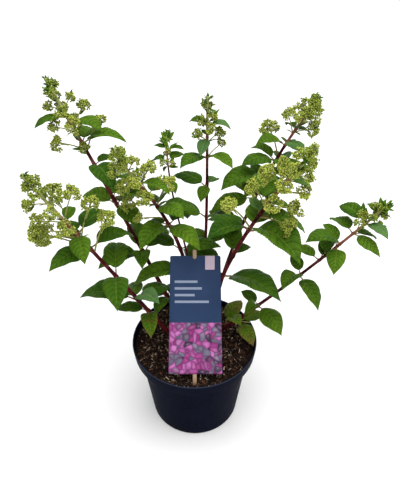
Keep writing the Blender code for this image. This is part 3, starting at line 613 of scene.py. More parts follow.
def stalk_material():
    """Pale green, with a red blush by the stored amount."""
    make = Finish("green_stalk", 0.5, 0.12)
    blush, tint = make.stored("place")[0], make.stored("paint")[0]
    green = make.mix(tint, (0.190, 0.240, 0.045), (0.480, 0.530, 0.130))
    red = make.mix(make.mottle(120.0, shift=tint), (0.170, 0.024, 0.028), (0.310, 0.095, 0.065))
    return make.done(make.mix(blush, green, red), make.grain(1500.0, 600.0, 0.0001)[1])


def bud_material():
    """Lime buds with painted shade at the foot and a painted highlight at the tip, each head in a tone of its
    own.
    """
    make = Finish("bud_skin", 0.46, 0.10)
    height = make.stored("place")[0]
    tint, young, _ = make.stored("paint")
    colour = make.coats(
        make.mix(tint, (0.140, 0.200, 0.014), (0.460, 0.510, 0.070)),
        (make.mottle(500.0), 0.22, (0.105, 0.165, 0.018)),
        # painted shade at the foot of each bud, where the buds crowd together
        (make.invert(make.step(height, 0.10, 0.62)), 0.42, (0.085, 0.130, 0.012)),
        # painted highlight at the tip of each bud
        (make.step(height, 0.60, 1.0), 0.40, (0.68, 0.72, 0.20)), (young, 0.75, (0.085, 0.175, 0.016)),
    )
    return make.done(colour, make.grain(2200.0, 2200.0, 0.0001)[1])


BARK, OLD_WOOD, STALK, BUD = bark_material(), old_wood_material(), stalk_material(), bud_material()
print("made", [item.name for item in (BARK, OLD_WOOD, STALK, BUD)])

# %% [markdown]
# ## Pot, compost, label and stick
# The pot is near-black navy plastic, matt, with a fine upright grain from its mould, a little dust and a
# painted highlight along its rim. The compost is dark and fibrous. The card has a satin print: a slate blue
# field with a
# few plain bars, a pale patch, and a square of pink and grey cells in a free mosaic. The stick is pale birch.

# %% Pot, compost, label and stick materials
# Middle x, middle y, width and height of the plain bars and of the patch on the card, in metres
BARS = [(-0.0130, 0.1330, 0.0320, 0.0034), (-0.0100, 0.1235, 0.0380, 0.0034),
        (-0.0150, 0.1140, 0.0280, 0.0034), (-0.0050, 0.1045, 0.0480, 0.0034)]
PATCH = [(0.0203, 0.1600, 0.0132, 0.0200)]
MOSAIC_TOP = 0.0745


def pot_material():
    """Navy black plastic with an upright grain, dust that gathers in soft patches, and a painted highlight on
    the rim.
    """
    make = Finish("navy_plastic", 0.40, 0.006)
    broad, dust = make.mottle(28.0, 0.3, 0.7), make.mottle(900.0, 0.66, 0.74)
    streak, normal = make.grain(900.0, 14.0, 0.00007)
    # painted bluish highlight along the top edge of the rim
    wear_and_highlight = make.step(make.parts(make.position)[2], POT_HEIGHT - 0.0014, POT_HEIGHT - 0.0002)
    colour = make.coats(
        make.mix(broad, (0.0014, 0.0022, 0.0085), (0.0040, 0.0052, 0.0140)),
        (make.step(streak, 0.45, 0.75), 0.50, (0.0100, 0.0120, 0.0240)),
        (dust, 0.16, (0.060, 0.055, 0.050)), (wear_and_highlight, 0.60, (0.040, 0.052, 0.085)),
    )
    return make.done(colour, normal, make.calc("MULTIPLY_ADD", broad, 0.14, 0.36))


def compost_material():
    """Dark crumbs; chips are reddish by the first stored value and straw coloured by the second."""
    make = Finish("compost", 0.92, 0.08)
    reddish, pale, _ = make.stored("paint")
    fine = make.mottle(420.0, 0.3, 0.7)
    crumb = make.mix(fine, (0.0030, 0.0020, 0.0018), (0.024, 0.0145, 0.011))
    chip = make.mix(fine, (0.030, 0.012, 0.008), (0.230, 0.105, 0.060))
    straw = make.mix(fine, (0.330, 0.240, 0.160), (0.740, 0.620, 0.470))
    colour = make.mix(pale, make.mix(reddish, crumb, chip), straw)
    return make.done(colour, make.grain(900.0, 900.0, 0.0012)[1])


def bar_mask(make, x, y, bars):
    """Union of plain rectangles given as middle x, middle y, width and height in metres on the card."""
    total = 0.0
    for middle_x, middle_y, width, height in bars:
        inside = make.times(*[
            make.calc("LESS_THAN", make.calc("ABSOLUTE", make.calc("SUBTRACT", value, middle)), size / 2)
            for value, middle, size in ((x, middle_x, width), (y, middle_y, height))
        ])
        total = make.calc("MAXIMUM", inside, total)
    return total


def card_material():
    """Satin card: slate blue with plain bars and a pale patch above, a mosaic of pink cells below."""
    make = Finish("printed_card", 0.40, 0.20)
    x, y, front = make.stored("place")
    field = make.coats(
        make.mix(make.mottle(18.0, 0.25, 0.75), (0.0165, 0.0370, 0.0980), (0.0250, 0.0510, 0.1220)),
        (bar_mask(make, x, y, BARS), 0.62, (0.42, 0.48, 0.62)),
        (bar_mask(make, x, y, PATCH), 0.9, (0.60, 0.46, 0.56)),
    )
    spot = make.vector(x, y)
    drift = make.add("ShaderNodeTexNoise", {"Vector": spot, "Scale": 60.0, "Detail": 1.0}).outputs["Color"]
    spot = make.vectors("ADD", spot, make.vectors("MULTIPLY", drift, (0.012, 0.012, 0.0)))
    inputs = {"Vector": spot, "Scale": 125.0, "Randomness": 0.9}
    cells = make.add("ShaderNodeTexVoronoi", inputs).outputs
    edges = make.add("ShaderNodeTexVoronoi", inputs, feature="DISTANCE_TO_EDGE").outputs
    first, second, third = make.parts(cells["Color"])
    mosaic = make.mix(first, (0.29, 0.018, 0.165), (0.55, 0.165, 0.470))
    mosaic = make.mix(make.step(second, 0.58, 0.70), mosaic, (0.160, 0.145, 0.215))
    mosaic = make.mix(make.step(third, 0.80, 0.90), mosaic, (0.040, 0.030, 0.058))
    mosaic = make.coats(
        mosaic,
        (make.invert(make.step(cells["Distance"], 0.0, 0.55)), 0.35, (0.60, 0.31, 0.53)),
        (make.invert(make.step(edges["Distance"], 0.0, 0.22)), 0.60, (0.075, 0.020, 0.070)),
    )
    print_side = make.mix(make.calc("LESS_THAN", y, MOSAIC_TOP), field, mosaic)
    colour = make.mix(front, (0.55, 0.57, 0.60), print_side)
    return make.done(colour, make.grain(1600.0, 1600.0, 0.00006)[1])


def stick_material():
    """Pale wood with long fibres along the stick, darker and damp at its foot."""
    make = Finish("birch_stick", 0.66, 0.2)
    x, y, _ = make.stored("place")
    stretched = make.vector(make.times(x, 2600.0), make.times(y, 60.0))
    fibre = make.add("ShaderNodeTexNoise", {"Vector": stretched, "Scale": 1.0, "Detail": 4.0}).outputs["Fac"]
    colour = make.mix(make.step(fibre, 0.3, 0.7), (0.37, 0.235, 0.135), (0.62, 0.455, 0.305))
    colour = make.coats(colour, (make.invert(make.step(y, -0.016, 0.004)), 0.55, (0.16, 0.085, 0.045)))
    return make.done(colour, make.bump(fibre, 0.00015, 0.7))


POT, COMPOST, CARD, STICK = pot_material(), compost_material(), card_material(), stick_material()
print("made", [item.name for item in (POT, COMPOST, CARD, STICK)])

# %% [markdown]
# ## The pot
# A thrown or moulded pot is a profile turned about its axis. The Screw modifier could do it, but an array of
# angles times an array of profile points gives the same surface in two lines. The corners of the profile are
# rounded first with short Bezier arcs, because a real rim has no sharp edge and its highlight shows it.

# %% Pot
def round_corners(profile, radius, steps=5):
    """Profile with each inner corner replaced by a quadratic Bezier arc that starts a radius before it."""
    profile = np.array(profile, float)
    rounded = [profile[:1]]
    for before, corner, after in zip(profile, profile[1:], profile[2:]):
        reach = min(radius, 0.45 * np.linalg.norm(corner - before), 0.45 * np.linalg.norm(after - corner))
        ends = [corner + unit(other - corner) * reach for other in (before, after)]
        rounded.append(bezier(ends[0], corner, ends[1], steps))
    rounded.append(profile[-1:])
    return np.concatenate(rounded)


def turned_grid(profile, sides):
    """Surface of revolution: each profile point (r, z) goes to (r cos a, r sin a, z) for all angles a."""
    angle = np.arange(sides) / sides * 2 * np.pi
    return together(profile[:, :1] * np.cos(angle), profile[:, :1] * np.sin(angle), profile[:, 1:])[None]


band = POT_HEIGHT - RIM_BAND
widening = BODY_TOP_RADIUS - BASE_RADIUS
outside = [(0, 0), (BASE_RADIUS - 0.0150, 0), (BASE_RADIUS - 0.0010, 0), (BASE_RADIUS + 0.0004, 0.0030)]
outside += [(BASE_RADIUS + widening * k, 0.003 + (band - 0.007) * k) for k in (0.33, 0.66, 1)]
outside += [(BODY_TOP_RADIUS + 0.0004, band - 0.0018), (RIM_RADIUS - 0.0020, band)]
outside += [(RIM_RADIUS, POT_HEIGHT - 0.0016), (RIM_RADIUS - 0.0003, POT_HEIGHT)]
inside = [(RIM_RADIUS - 0.0018, POT_HEIGHT), (RIM_RADIUS - 0.0020 - POT_WALL, band + 0.0015)]
inside += [(BODY_TOP_RADIUS - POT_WALL, band - 0.0015), (BASE_RADIUS - 0.0014, POT_FLOOR + 0.002)]
inside += [(BASE_RADIUS - 0.0030, POT_FLOOR), (0, POT_FLOOR)]
pot_profile = round_corners(outside + inside, 0.0009)
make_piece("nursery_pot", [{"points": turned_grid(pot_profile, 160)}], POT, ["pot"])

# %% [markdown]
# ## Compost with bark chips
# The surface is a disc of rings and angles whose height is a sum of smooth waves of two sizes.
# The crumbs and chips on it are small bent blocks of some twenty faces, and thin fibres lie between them.
# They could be scattered by Geometry Nodes. Plain arrays do the same and keep every chip inside the wall.

# %% Compost
CHIPS, SHORTEST_CHIP, CHIP_RANGE, WIDEST_CHIP = 3900, 0.0020, 0.0078, 0.0026
FIBRES, FIBRE_LENGTHS, FIBRE_RADII = 150, (0.004, 0.013), (0.00018, 0.0004)
SOIL_SIDES, RIM_INSET, WALL_GAP = 240, 0.0021, 0.0003
soil_edge = RIM_RADIUS - RIM_INSET - POT_WALL - WALL_GAP
chance = np.random.default_rng(21)


def soil_height(x, y):
    """Compost level plus waves of 16 mm and 4.5 mm length, calmer at the wall."""
    flat = together(x, y, 0.0)
    calm = np.clip((soil_edge - np.hypot(x, y)) / 0.006, 0.25, 1)
    return SOIL_LEVEL + calm * (0.0010 * waves(flat, 3, 0.016) + 0.00075 * waves(flat, 4, 0.0045))


def scattered(count, margin):
    """Places spread evenly over the disc: the distance from its middle is the square root of chance."""
    where = np.sqrt(chance.uniform(0, 1, count)) * (soil_edge - margin)
    turn = chance.uniform(0, 2 * np.pi, count)
    return where * np.cos(turn), where * np.sin(turn)


rings = np.concatenate([np.linspace(0, 1, 70) ** 0.8 * (soil_edge - WALL_GAP), [soil_edge]])[::-1, None]
angle = np.arange(SOIL_SIDES) / SOIL_SIDES * 2 * np.pi
soil_x, soil_y = rings * np.cos(angle), rings * np.sin(angle)
skirt = [(0, 0.0034), (BASE_RADIUS - 0.0034, 0.0034)]
skirt += [(BODY_TOP_RADIUS - 0.0022, band - 0.0008), (soil_edge, band + 0.003)]
under = turned_grid(np.array(skirt), SOIL_SIDES)[0]
soil_points = np.concatenate([under, together(soil_x, soil_y, soil_height(soil_x, soil_y))])[None]

chip_x, chip_y = scattered(CHIPS, 0.004)
length = SHORTEST_CHIP + CHIP_RANGE * chance.uniform(0, 1, CHIPS) ** 2.3
width = np.minimum(length * chance.uniform(0.14, 0.62, CHIPS), WIDEST_CHIP)
lie = chance.uniform(0, np.pi, CHIPS)
tilt = chance.normal(0, 0.48, CHIPS)
ahead = together(np.cos(lie) * np.cos(tilt), np.sin(lie) * np.cos(tilt), np.sin(tilt))
side = unit(np.cross([0, 0, 1.0], ahead))
above = np.cross(ahead, side)
middle = together(chip_x, chip_y, soil_height(chip_x, chip_y) + width * 0.22)
t = np.array([-0.5, -0.5, -0.18, 0.2, 0.5, 0.5])
swell = np.array([0.0, 0.8, 1.0, 0.9, 0.55, 0.0]) * chance.uniform(0.75, 1.2, (CHIPS, len(t)))
bend = t ** 2 * length[:, None] * chance.normal(0, 0.3, (CHIPS, 1))
centre = middle[:, None] + ahead[:, None] * (t * length[:, None])[..., None] + side[:, None] * bend[..., None]
flatness = chance.uniform(0.30, 0.75, (CHIPS, 1, 1))
chips = tube_grid(centre, side[:, None], above[:, None] * flatness, swell * width[:, None] / 2, 4)
reddish = np.clip(chance.normal(0.24, 0.48, CHIPS), 0, 1)
straw = (chance.uniform(0, 1, CHIPS) < 0.12) * chance.uniform(0.15, 1.0, CHIPS)
chips["paint"] = together(reddish, straw, 0.0)[:, None, None]

fibre_x, fibre_y = scattered(FIBRES, 0.008)
lie = chance.uniform(0, 2 * np.pi, FIBRES)
length = chance.uniform(*FIBRE_LENGTHS, FIBRES)
t = np.linspace(-0.5, 0.5, 6)
path_x = fibre_x[:, None] + np.cos(lie)[:, None] * length[:, None] * t
path_y = fibre_y[:, None] + np.sin(lie)[:, None] * length[:, None] * t
lift = 0.0011 + 0.0012 * chance.uniform(0, 1, (FIBRES, 1)) * (1 - 4 * t ** 2)
path = together(path_x, path_y, soil_height(path_x, path_y) + lift)
thick = np.array([0, 1, 1, 1, 0.8, 0]) * chance.uniform(*FIBRE_RADII, (FIBRES, 1))
fibres = tube_grid(path, *across_frames(path), thick, 4)
reddish, straw = chance.uniform(0.2, 1, FIBRES), chance.uniform(0.0, 0.9, FIBRES)
fibres["paint"] = together(reddish, straw, 0.0)[:, None, None]
make_piece("compost_fill", [{"points": soil_points}, chips, fibres], COMPOST, ["soil"])

# %% [markdown]
# ## The label on its stick
# The card is one closed sheet: columns across it, rows up it. Each column ends a little lower near the
# middle, which makes the notch at the top, and the whole sheet bows a little, as card does out of doors.
# A picture could carry the print, but here it is worked out from the position on the card, which is stored
# at the vertices in metres, so that it follows the sheet and stays sharp.

# %% Label card and stick
LABEL_SHIFT, CARD_FRONT, CARD_BACK, STICK_GAP = -0.001, 0.0007, 0.0002, 0.0003
lean = math.radians(LABEL_LEAN)
UP_CARD = np.array([0, math.sin(lean), math.cos(lean)])
OUT_OF_CARD = np.array([0, -math.cos(lean), math.sin(lean)])


def on_card(x, y, out):
    """Points at x across, y up and out in front of the leaning label's foot."""
    return LABEL_FOOT + x[..., None] * [1, 0, 0] + y[..., None] * UP_CARD + out[..., None] * OUT_OF_CARD


def card_grid():
    """Sheet: x across, y up to a top edge with a notch; front and back 0.5 mm apart, bowed by sin(pi y)."""
    u = np.concatenate([np.linspace(-1, -0.16, 18), np.linspace(-0.115, 0.06, 15), np.linspace(0.105, 1, 19)])
    v = np.concatenate([np.linspace(0, 0.95, 44), np.linspace(0.956, 1, 9)])[:, None]
    middle = LABEL_SHIFT / (LABEL_WIDTH_HIGH / 2)
    notch = NOTCH_DEPTH * np.clip(1 - ((u - middle) / 0.088) ** 2, 0, 1) ** 0.35
    corner = 0.0012 * np.clip((np.abs(u) - 0.967) / 0.033, 0, 1) ** 2
    y = v * (LABEL_LENGTH - notch - corner) + (1 - v) * corner
    half = LABEL_WIDTH_LOW / 2 + (LABEL_WIDTH_HIGH - LABEL_WIDTH_LOW) / 2 * y / LABEL_LENGTH
    x = u * half
    bow = 0.00024 * np.sin(np.pi * y / LABEL_LENGTH) * (1 - u ** 2)
    sheets, places = [], []
    for depth, order, front in ((CARD_FRONT, slice(None), 1.0), (CARD_BACK, slice(None, None, -1), 0.0)):
        sheets.append(on_card(x, y, bow + depth)[:, order])
        places.append(together(x, y, front)[:, order])
    points, place = np.concatenate(sheets, axis=1), np.concatenate(places, axis=1)
    low, high = [(points[row] + points[row, ::-1]) / 2 for row in (slice(0, 1), slice(-1, None))]
    points = np.concatenate([low, points, high])[None]
    return {"points": points, "place": np.concatenate([place[:1], place, place[-1:]])[None]}


make_piece("label_sheet", [card_grid()], CARD, ["label_card"])

v = np.concatenate([[0, 0], np.linspace(0.0, 0.985, 40), [0.994, 1.0, 1.0]])
y = (v * (LABEL_LENGTH + STICK_BELOW + STICK_ABOVE) - STICK_BELOW)[:, None]
half = (STICK_WIDTH / 2 * np.concatenate([[0, 0.86], np.ones(40), [0.92, 0.70, 0]]))[:, None]
outline = np.array([(1, -0.7), (0.86, -1), (-0.86, -1), (-1, -0.7)])
outline = np.concatenate([outline, -outline])
x = half * outline[:, 0]
depth = np.minimum(half / STICK_WIDTH * 2.2, 1) * STICK_THICKNESS / 2 * outline[:, 1]
wobble = 0.00012 * np.sin(y * 90)
points = on_card(x + wobble + LABEL_SHIFT, y, depth - STICK_GAP - STICK_THICKNESS / 2)[None]
stick = {"points": points, "place": together(x, y, 0.0)[None]}
make_piece("birch_stick", [stick], STICK, ["label_stick"])

# %% [markdown]
# ## Canes with bark
# A cane is a tube along its centre line. Its radius tapers, swells at every pair of leaves and carries fine
# ridges that run along it, which are cosines of whole multiples of the angle so that they meet all round.
# A displaced cylinder would need far more faces to hold the same ridges.

# %% Canes
def cane_radius(cane, t):
    """Radius, a taper times 1 plus 0.3 exp(-(distance / 3 mm)^2) near a leaf pair, and the mask of scars."""
    thick = np.interp(t, [0, 1], cane["thickness"]) / 2000
    nodes = np.array([row[0] for row in cane["nodes"]])
    away = np.abs(t[:, None] - nodes).min(axis=1) * cane["length"]
    return thick * (1 + 0.30 * np.exp(-(away / 3.0) ** 2)), np.exp(-((away - 1.6) / 0.55) ** 2)


def ridges(angle, t, seed):
    """Sum of cosines of 3 to 11 times the angle, whose phase drifts along the cane, from about -1 to 1."""
    rng = np.random.default_rng(seed)
    total = 0
    for times in (3, 4, 5, 7, 9, 11):
        drift = rng.uniform(-40, 40)
        total = total + np.cos(times * angle + drift * t[:, None] + rng.uniform(0, 6))
    return total / 4


# Shares of each cane where it turns from burgundy to pink brown and from pink brown to green
RIPENESS = {
    "left_low": (0.62, 0.86), "left_high": (0.70, 0.90), "front_left": (0.56, 0.80),
    "back_small": (0.80, 0.98), "middle": (0.72, 0.90), "right_high": (0.78, 0.94),
    "front_right": (0.62, 0.84), "right_low": (0.66, 0.88), "low_shoot": (0.3, 0.9),
}
CANE_SIDES, STATION_MM = 20, 1.3
angle = np.arange(CANE_SIDES) / CANE_SIDES * 2 * np.pi
for number, (name, cane) in enumerate(CANES.items()):
    t = np.concatenate([[0], np.linspace(0, 1, int(cane["length"] / STATION_MM)), [1]])
    centre = points_at(LINES[name], t)[:, None]
    along, right, back = frame_at(LINES[name], t)
    radius, scar = cane_radius(cane, t)
    grown = radius[:, None] * (1 + 0.045 * ridges(angle, t, 40 + number) - 0.05 * scar[:, None])
    grown[[0, -1]] = 0
    ring = np.cos(angle)[:, None] * right[:, None] + np.sin(angle)[:, None] * back[:, None]
    ripe = np.interp(t, [0, *RIPENESS[name], 1], [0.05, 0.34, 0.80, 0.95])
    grid = {
        "points": (centre + grown[..., None] * ring)[None],
        "place": together(ripe[:, None], angle / (2 * np.pi), (t * cane["length"] / 1000)[:, None])[None],
        "paint": together(number / len(CANES), scar[:, None], 0.0)[None],
    }
    replaced = ["limb_" + name] if "limb_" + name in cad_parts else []
    make_piece("cane_" + name, [grid], BARK, replaced)

# %% [markdown]
# ## The crown of old wood
# The canes stand on a low knob of old wood with a short arm to each foot.
# Knob and arms are rough tubes and a lumpy dome whose radius is disturbed by smooth waves.
# Sculpting could give them more character, but waves come out alike in every run and need no stored mesh.

# %% Crown
arms = []
for name, line in LINES.items():
    way = unit(line[1] - line[0])
    radius = CANES[name]["thickness"][0] / 2000
    low = np.array([*CROWN_CENTRE[:2], SOIL_LEVEL + 0.0050])
    start = line[0] - way * 0.0055
    start[2] = max(start[2], SOIL_LEVEL + radius * 1.15 + 0.0008)
    path = doubled_ends(bezier(low * 0.8 + start * 0.2, start, line[0] + way * 0.002, 40)[None])
    thick = np.interp(np.linspace(0, 1, 42), [0, 0.6, 1], [1.45, 1.25, 1.02]) * radius
    grid = tube_grid(path, *across_frames(path), thick[None], 18)
    rough = 1 + 0.10 * waves(grid["points"], 61, 0.006) + 0.05 * waves(grid["points"], 62, 0.002)
    core = path[:, :, None]
    grid["points"] = core + (grid["points"] - core) * rough[..., None]
    grid["points"][:, [0, -1]] = core[:, [0, -1]]
    arms.append(grid)
lift = np.linspace(-0.5, 1, 26)[:, None] * np.pi / 2
turn = np.arange(48) / 48 * 2 * np.pi
ball = together(np.cos(lift) * np.cos(turn), np.cos(lift) * np.sin(turn), np.sin(lift))
ball[[0, -1]] = ball[[0, -1]].mean(axis=1, keepdims=True)
lumps = 1 + 0.10 * waves(ball, 63, 0.9) + 0.06 * waves(ball, 64, 0.3)
knob = {"points": (CROWN_CENTRE + ball * CROWN_SIZE * lumps[..., None] * 0.97)[None]}
make_piece("old_wood_crown", arms + [knob], OLD_WOOD, ["crown"])

# %% [markdown]
# ## Leaves
# A panicle hydrangea leaf is an oval that ends in a fine point, with small teeth that lean forward.
# A flat card with a cut-out picture is the usual short cut, but it has no edge, fold or underside.
# The midrib bends down from the stalk: the slope is the rise minus the droop times s^1.15, as in the source.
# The two halves fold up a little along the midrib and roll down again at the edge, and the surface swells
# between the side veins. All this is one function of the place (s along, u across) for many leaves at once.

# %% Leaf surface
BLADE_THICKNESS, MIDRIB_STEPS = 0.00032, 120


def half_width(s):
    """Half the width along the blade: s^a (1 - s)^b over its own peak, with a fuller base and a finer tip."""
    a, b = OUTLINE[0] - 0.02, OUTLINE[1]
    peak = (a / (a + b)) ** a * (b / (a + b)) ** b
    tail = 1 - 0.36 * np.exp(-((1 - s) / 0.15) ** 2)
    return s ** a * (1 - s) ** b / peak * tail


def midribs(leaf, s):
    """Midrib points and the across and upper directions of all leaves at the shares s."""
    slope = leaf["rise"][:, None] - leaf["droop"][:, None] * s ** 1.15
    step = np.diff(s)
    zero = np.zeros((len(slope), 1))
    run, climb = [
        np.concatenate([zero, np.cumsum((wave[:, 1:] + wave[:, :-1]) / 2 * step, axis=1)], axis=1)
        for wave in (np.cos(slope), np.sin(slope))
    ]
    ahead = together(np.cos(leaf["heading"]), np.sin(leaf["heading"]), 0.0)
    up = np.array([0, 0, 1.0])
    side = np.cross(up, ahead)
    size = leaf["size"][:, None]
    lift = leaf["rise"][:, None]
    start = leaf["root"] + (ahead * np.cos(lift) + up * np.sin(lift)) * size * leaf["stalk"][:, None]
    middle = start[:, None] + (size * run)[..., None] * ahead[:, None] + (size * climb)[..., None] * up
    normal = -np.sin(slope)[..., None] * ahead[:, None] + np.cos(slope)[..., None] * up
    turn = (leaf["roll"][:, None] + leaf["twist"][:, None] * s)[..., None]
    across = side[:, None] * np.cos(turn) + normal * np.sin(turn)
    return middle, across, normal * np.cos(turn) - side[:, None] * np.sin(turn)


def midribs_at(leaf, s):
    """The midribs at the shares s in any order, interpolated between even stations."""
    place = np.clip(s, 0, 0.999) * MIDRIB_STEPS
    low = place.astype(int)
    part = (place - low)[:, None]
    stations = midribs(leaf, np.linspace(0, 1, MIDRIB_STEPS + 1))
    return [values[:, low] * (1 - part) + values[:, low + 1] * part for values in stations]


def spread(leaf, *keys):
    """The leaves' values under these keys, shaped to meet arrays of rows and columns."""
    return [leaf[key][:, None, None] for key in keys]


def leaf_grid(leaf, teeth, columns):
    """Closed blades: the top from right edge to left, then the underside back, one ring for each row.

    A row v follows the side veins: its points lie at s = v + 0.22 |u|^1.2 (1 - (1 - v)^8) (1 - v^3).
    Width: half width times 1 plus a saw of teeth. Height: fold |u| - curl u^2 in half widths, plus a swell
    between the veins, plus a slow wave at the edge.
    """
    k = np.arange(2 * teeth + 1)
    v = np.clip((k + 0.45 * (k % 2)) / (2 * teeth), 0, 1)
    saw = np.where(k % 2 == 1, 0.040, -0.022) * np.clip((v - 0.06) * 12, 0, 1)
    v = np.clip(0.004 + 0.994 * v, 0, 0.998)[:, None]
    u = np.sin(np.linspace(1, -1, columns) * np.pi / 2 * 0.86) / np.sin(np.pi / 2 * 0.86)
    s = v + 0.22 * np.abs(u) ** 1.2 * (1 - (1 - v) ** 8) * (1 - v ** 3)
    shape = (-1, *s.shape, 3)
    middle, across, upper = [values.reshape(shape) for values in midribs_at(leaf, s.ravel())]
    size, width, fold, curl, relief, phase = spread(leaf, "size", "width", "fold", "curl", "relief", "phase")
    half = width * size / 2 / np.cos(fold) ** 0.6 * half_width(s)
    wide = half * u * (1 + saw[:, None] * np.abs(u) ** 6)
    swell = (0.5 - 0.5 * np.cos(2 * np.pi * VEIN_PAIRS * v)) * np.clip(np.abs(u) * 6, 0, 1) * (1 - u ** 4)
    swell = swell * np.clip(v * 8, 0, 1) * np.clip((1 - v) * 5, 0, 1)
    edge_wave = np.sin(2 * np.pi * (1.7 * s + 0.21 * np.sign(u)) + phase)
    edge_wave = edge_wave + 0.6 * np.sin(2 * np.pi * (3.9 * s - 0.17 * np.sign(u)) + 2.3 * phase)
    lift = half * (np.sin(fold) * np.abs(u) - curl * u ** 2)
    lift = lift + size * 0.014 * swell * relief
    lift = lift + size * 0.013 * edge_wave * u ** 2 * np.sin(np.pi * s) ** 0.7
    sheet = middle + across * (wide * np.cos(fold))[..., None] + upper * lift[..., None]
    thick = BLADE_THICKNESS * (1 - 0.8 * u ** 4) * np.sin(np.pi * np.clip(s, 0.02, 0.98)) ** 0.5
    lower = sheet - upper * thick[..., None]
    points = np.concatenate([sheet, lower[:, :, ::-1]], axis=2)
    ends = [middle[:, row:row + 1, columns // 2:columns // 2 + 1] for row in (0, len(v) - 1)]
    base, tip = [np.repeat(end, points.shape[2], axis=2) for end in ends]
    points = np.concatenate([base, points, tip], axis=1)
    rows = np.concatenate([v[:1], v, v[-1:]])
    tint, painted_sheen, damage, veined = spread(leaf, "tint", "painted_sheen", "damage", "veined")
    # Some small tops take part of the underside colour as a painted bluish sheen
    under = np.maximum(np.repeat([0.0, 1.0], columns), painted_sheen)
    place = together(np.concatenate([u, u[::-1]]), rows, veined)
    return {"points": points, "place": place, "paint": together(tint, under, damage)}


print("leaf functions ready")

# %% [markdown]
# ## Leaf stalks, and what makes each leaf its own
# A stalk is a round tube from the cane to the blade, and it goes on below the blade as its raised midrib.
# Two pieces could be joined there, but one tube keeps the passage from stalk to midrib smooth.
# Fold, curl, tone and wear of each leaf come from a second generator, so the draws of the source stay apart.

# %% Leaf stalks and traits
STALK_RADIUS, USUAL_LEAF, RIB_GAP = 0.00118, 0.055, 0.00012
FINE = np.random.default_rng(70)


def stalk_grid(leaf, blush):
    """Leaf stalks that go on as a tapering rib under the blade, as far as nine tenths of it."""
    middle, across, upper = midribs(leaf, np.linspace(0, 0.9, 14))
    t = np.linspace(0, 1, 7)[:-1, None]
    sag = np.sin(np.pi * t) * leaf["size"][:, None, None] * -0.012
    stem = leaf["root"][:, None] * (1 - t) + middle[:, :1] * t + sag * upper[:, :1]
    path = doubled_ends(np.concatenate([stem, middle], axis=1))
    first, second = [doubled_ends(np.concatenate([np.repeat(way[:, :1], 6, axis=1), way], axis=1))
                     for way in (across, upper)]
    thick = np.concatenate([[0, 1.2, 1.0, 0.92, 0.88, 0.84, 0.80], np.linspace(0.66, 0.20, 14), [0]])
    radius = STALK_RADIUS * (leaf["size"][:, None] / USUAL_LEAF) ** 0.5 * thick
    path = path - second * ((radius + RIB_GAP) * np.repeat([0.0, 1.0], [7, 15]))[..., None]
    grid = tube_grid(path, first, second, radius, 7)
    redness = blush[:, None] * np.concatenate([np.linspace(1, 0.62, 7), np.linspace(0.40, 0.0, 15)])
    grid["place"] = together(redness, 0.0, 0.0)[:, :, None]
    grid["paint"] = together(leaf["tint"] * 0.35, 0.0, 0.0)[:, None, None]
    return grid


def blades(root, heading, rise, droop, roll, size, **settings):
    """Leaves as a table of arrays, with fold, curl, wave and tone drawn by chance."""
    count = len(size)
    leaf = {"root": root, "size": size}
    for key, angle in (("heading", heading), ("rise", rise), ("droop", droop), ("roll", roll)):
        leaf[key] = np.radians(angle)
    leaf["twist"] = np.radians(FINE.normal(0, 9, count))
    leaf["fold"] = np.clip(FINE.normal(0.60, 0.13, count), 0.25, 0.92)
    leaf["curl"] = np.clip(FINE.normal(0.46, 0.12, count), 0.1, 0.8)
    leaf["phase"] = FINE.uniform(0, 2 * np.pi, count)
    leaf["tint"] = np.clip(FINE.normal(0.47, 0.24, count), 0, 1)
    leaf["relief"] = FINE.uniform(0.7, 1.15, count)
    leaf["damage"] = np.where(FINE.uniform(0, 1, count) < 0.05, FINE.uniform(0.10, 0.20, count), 0)
    # Some small leaves get a painted bluish sheen on top, mixed from the underside colour
    painted_sheen = np.where(FINE.uniform(0, 1, count) < 0.22, FINE.uniform(0.20, 0.65, count), 0)
    leaf["painted_sheen"] = painted_sheen * (size < 0.052)
    for key, value in (("width", LEAF_WIDTH), ("stalk", STALK_SHARE), ("veined", 1.0)):
        leaf[key] = np.full(count, settings.get(key, value))
    return leaf


print("stalk and trait functions ready")

# %% [markdown]
# ## Sprays of buds
# Each spray is a stalk whose end branches into small heads, and each head carries six buds on short stalks.
# The heads lie on a dome round the end of the spray, spaced by the golden angle, which spreads points evenly
# without a pattern. The dome has the radius that the source gives to the bunch, so the reach is kept.
# The branching could be drawn by hand for one spray and copied, but no two sprays of a panicle are alike.

# %% Spray growth
GOLDEN = math.radians(137.508)
BUDS_PER_HEAD, BUD_SIZES, BUD_STALKS = 6, (0.00088, 0.00136), (0.0012, 0.0035)


def fan_out(axis, count, widest, start):
    """Directions round an axis: cos(polar) falls evenly to cos(widest), each turned by the golden angle."""
    i = np.arange(count) + 0.5
    cosine = 1 - i / count * (1 - math.cos(math.radians(widest)))
    sine = np.sqrt(1 - cosine ** 2)
    turn = i * GOLDEN + np.asarray(start)[..., None]
    first, second = [side[..., None, :] for side in square_to(axis)]
    ring = np.cos(turn)[..., None] * first + np.sin(turn)[..., None] * second
    return cosine[..., None] * axis[..., None, :] + sine[..., None] * ring


def stalk_ways(line, rows):
    """Directions of the cane, straight out of it, and of the stalk: out cos(lift) + along sin(lift)."""
    along, right, back = frame_at(line, rows[:, 0])
    turn, lift = np.radians(rows[:, 1]), math.radians(SPRAY_LIFT)
    out = right * np.cos(turn)[:, None] + back * np.sin(turn)[:, None]
    return along, out, out * math.cos(lift) + along * math.sin(lift)


# Mean tone of the buds of each cane, from 0, dark green, to 1, pale lime
BUD_TONE = {
    "left_low": 0.44, "left_high": 0.28, "front_left": 0.62, "back_small": 0.05, "middle": 0.34,
    "right_high": 0.44, "front_right": 0.72, "right_low": 0.05,
}


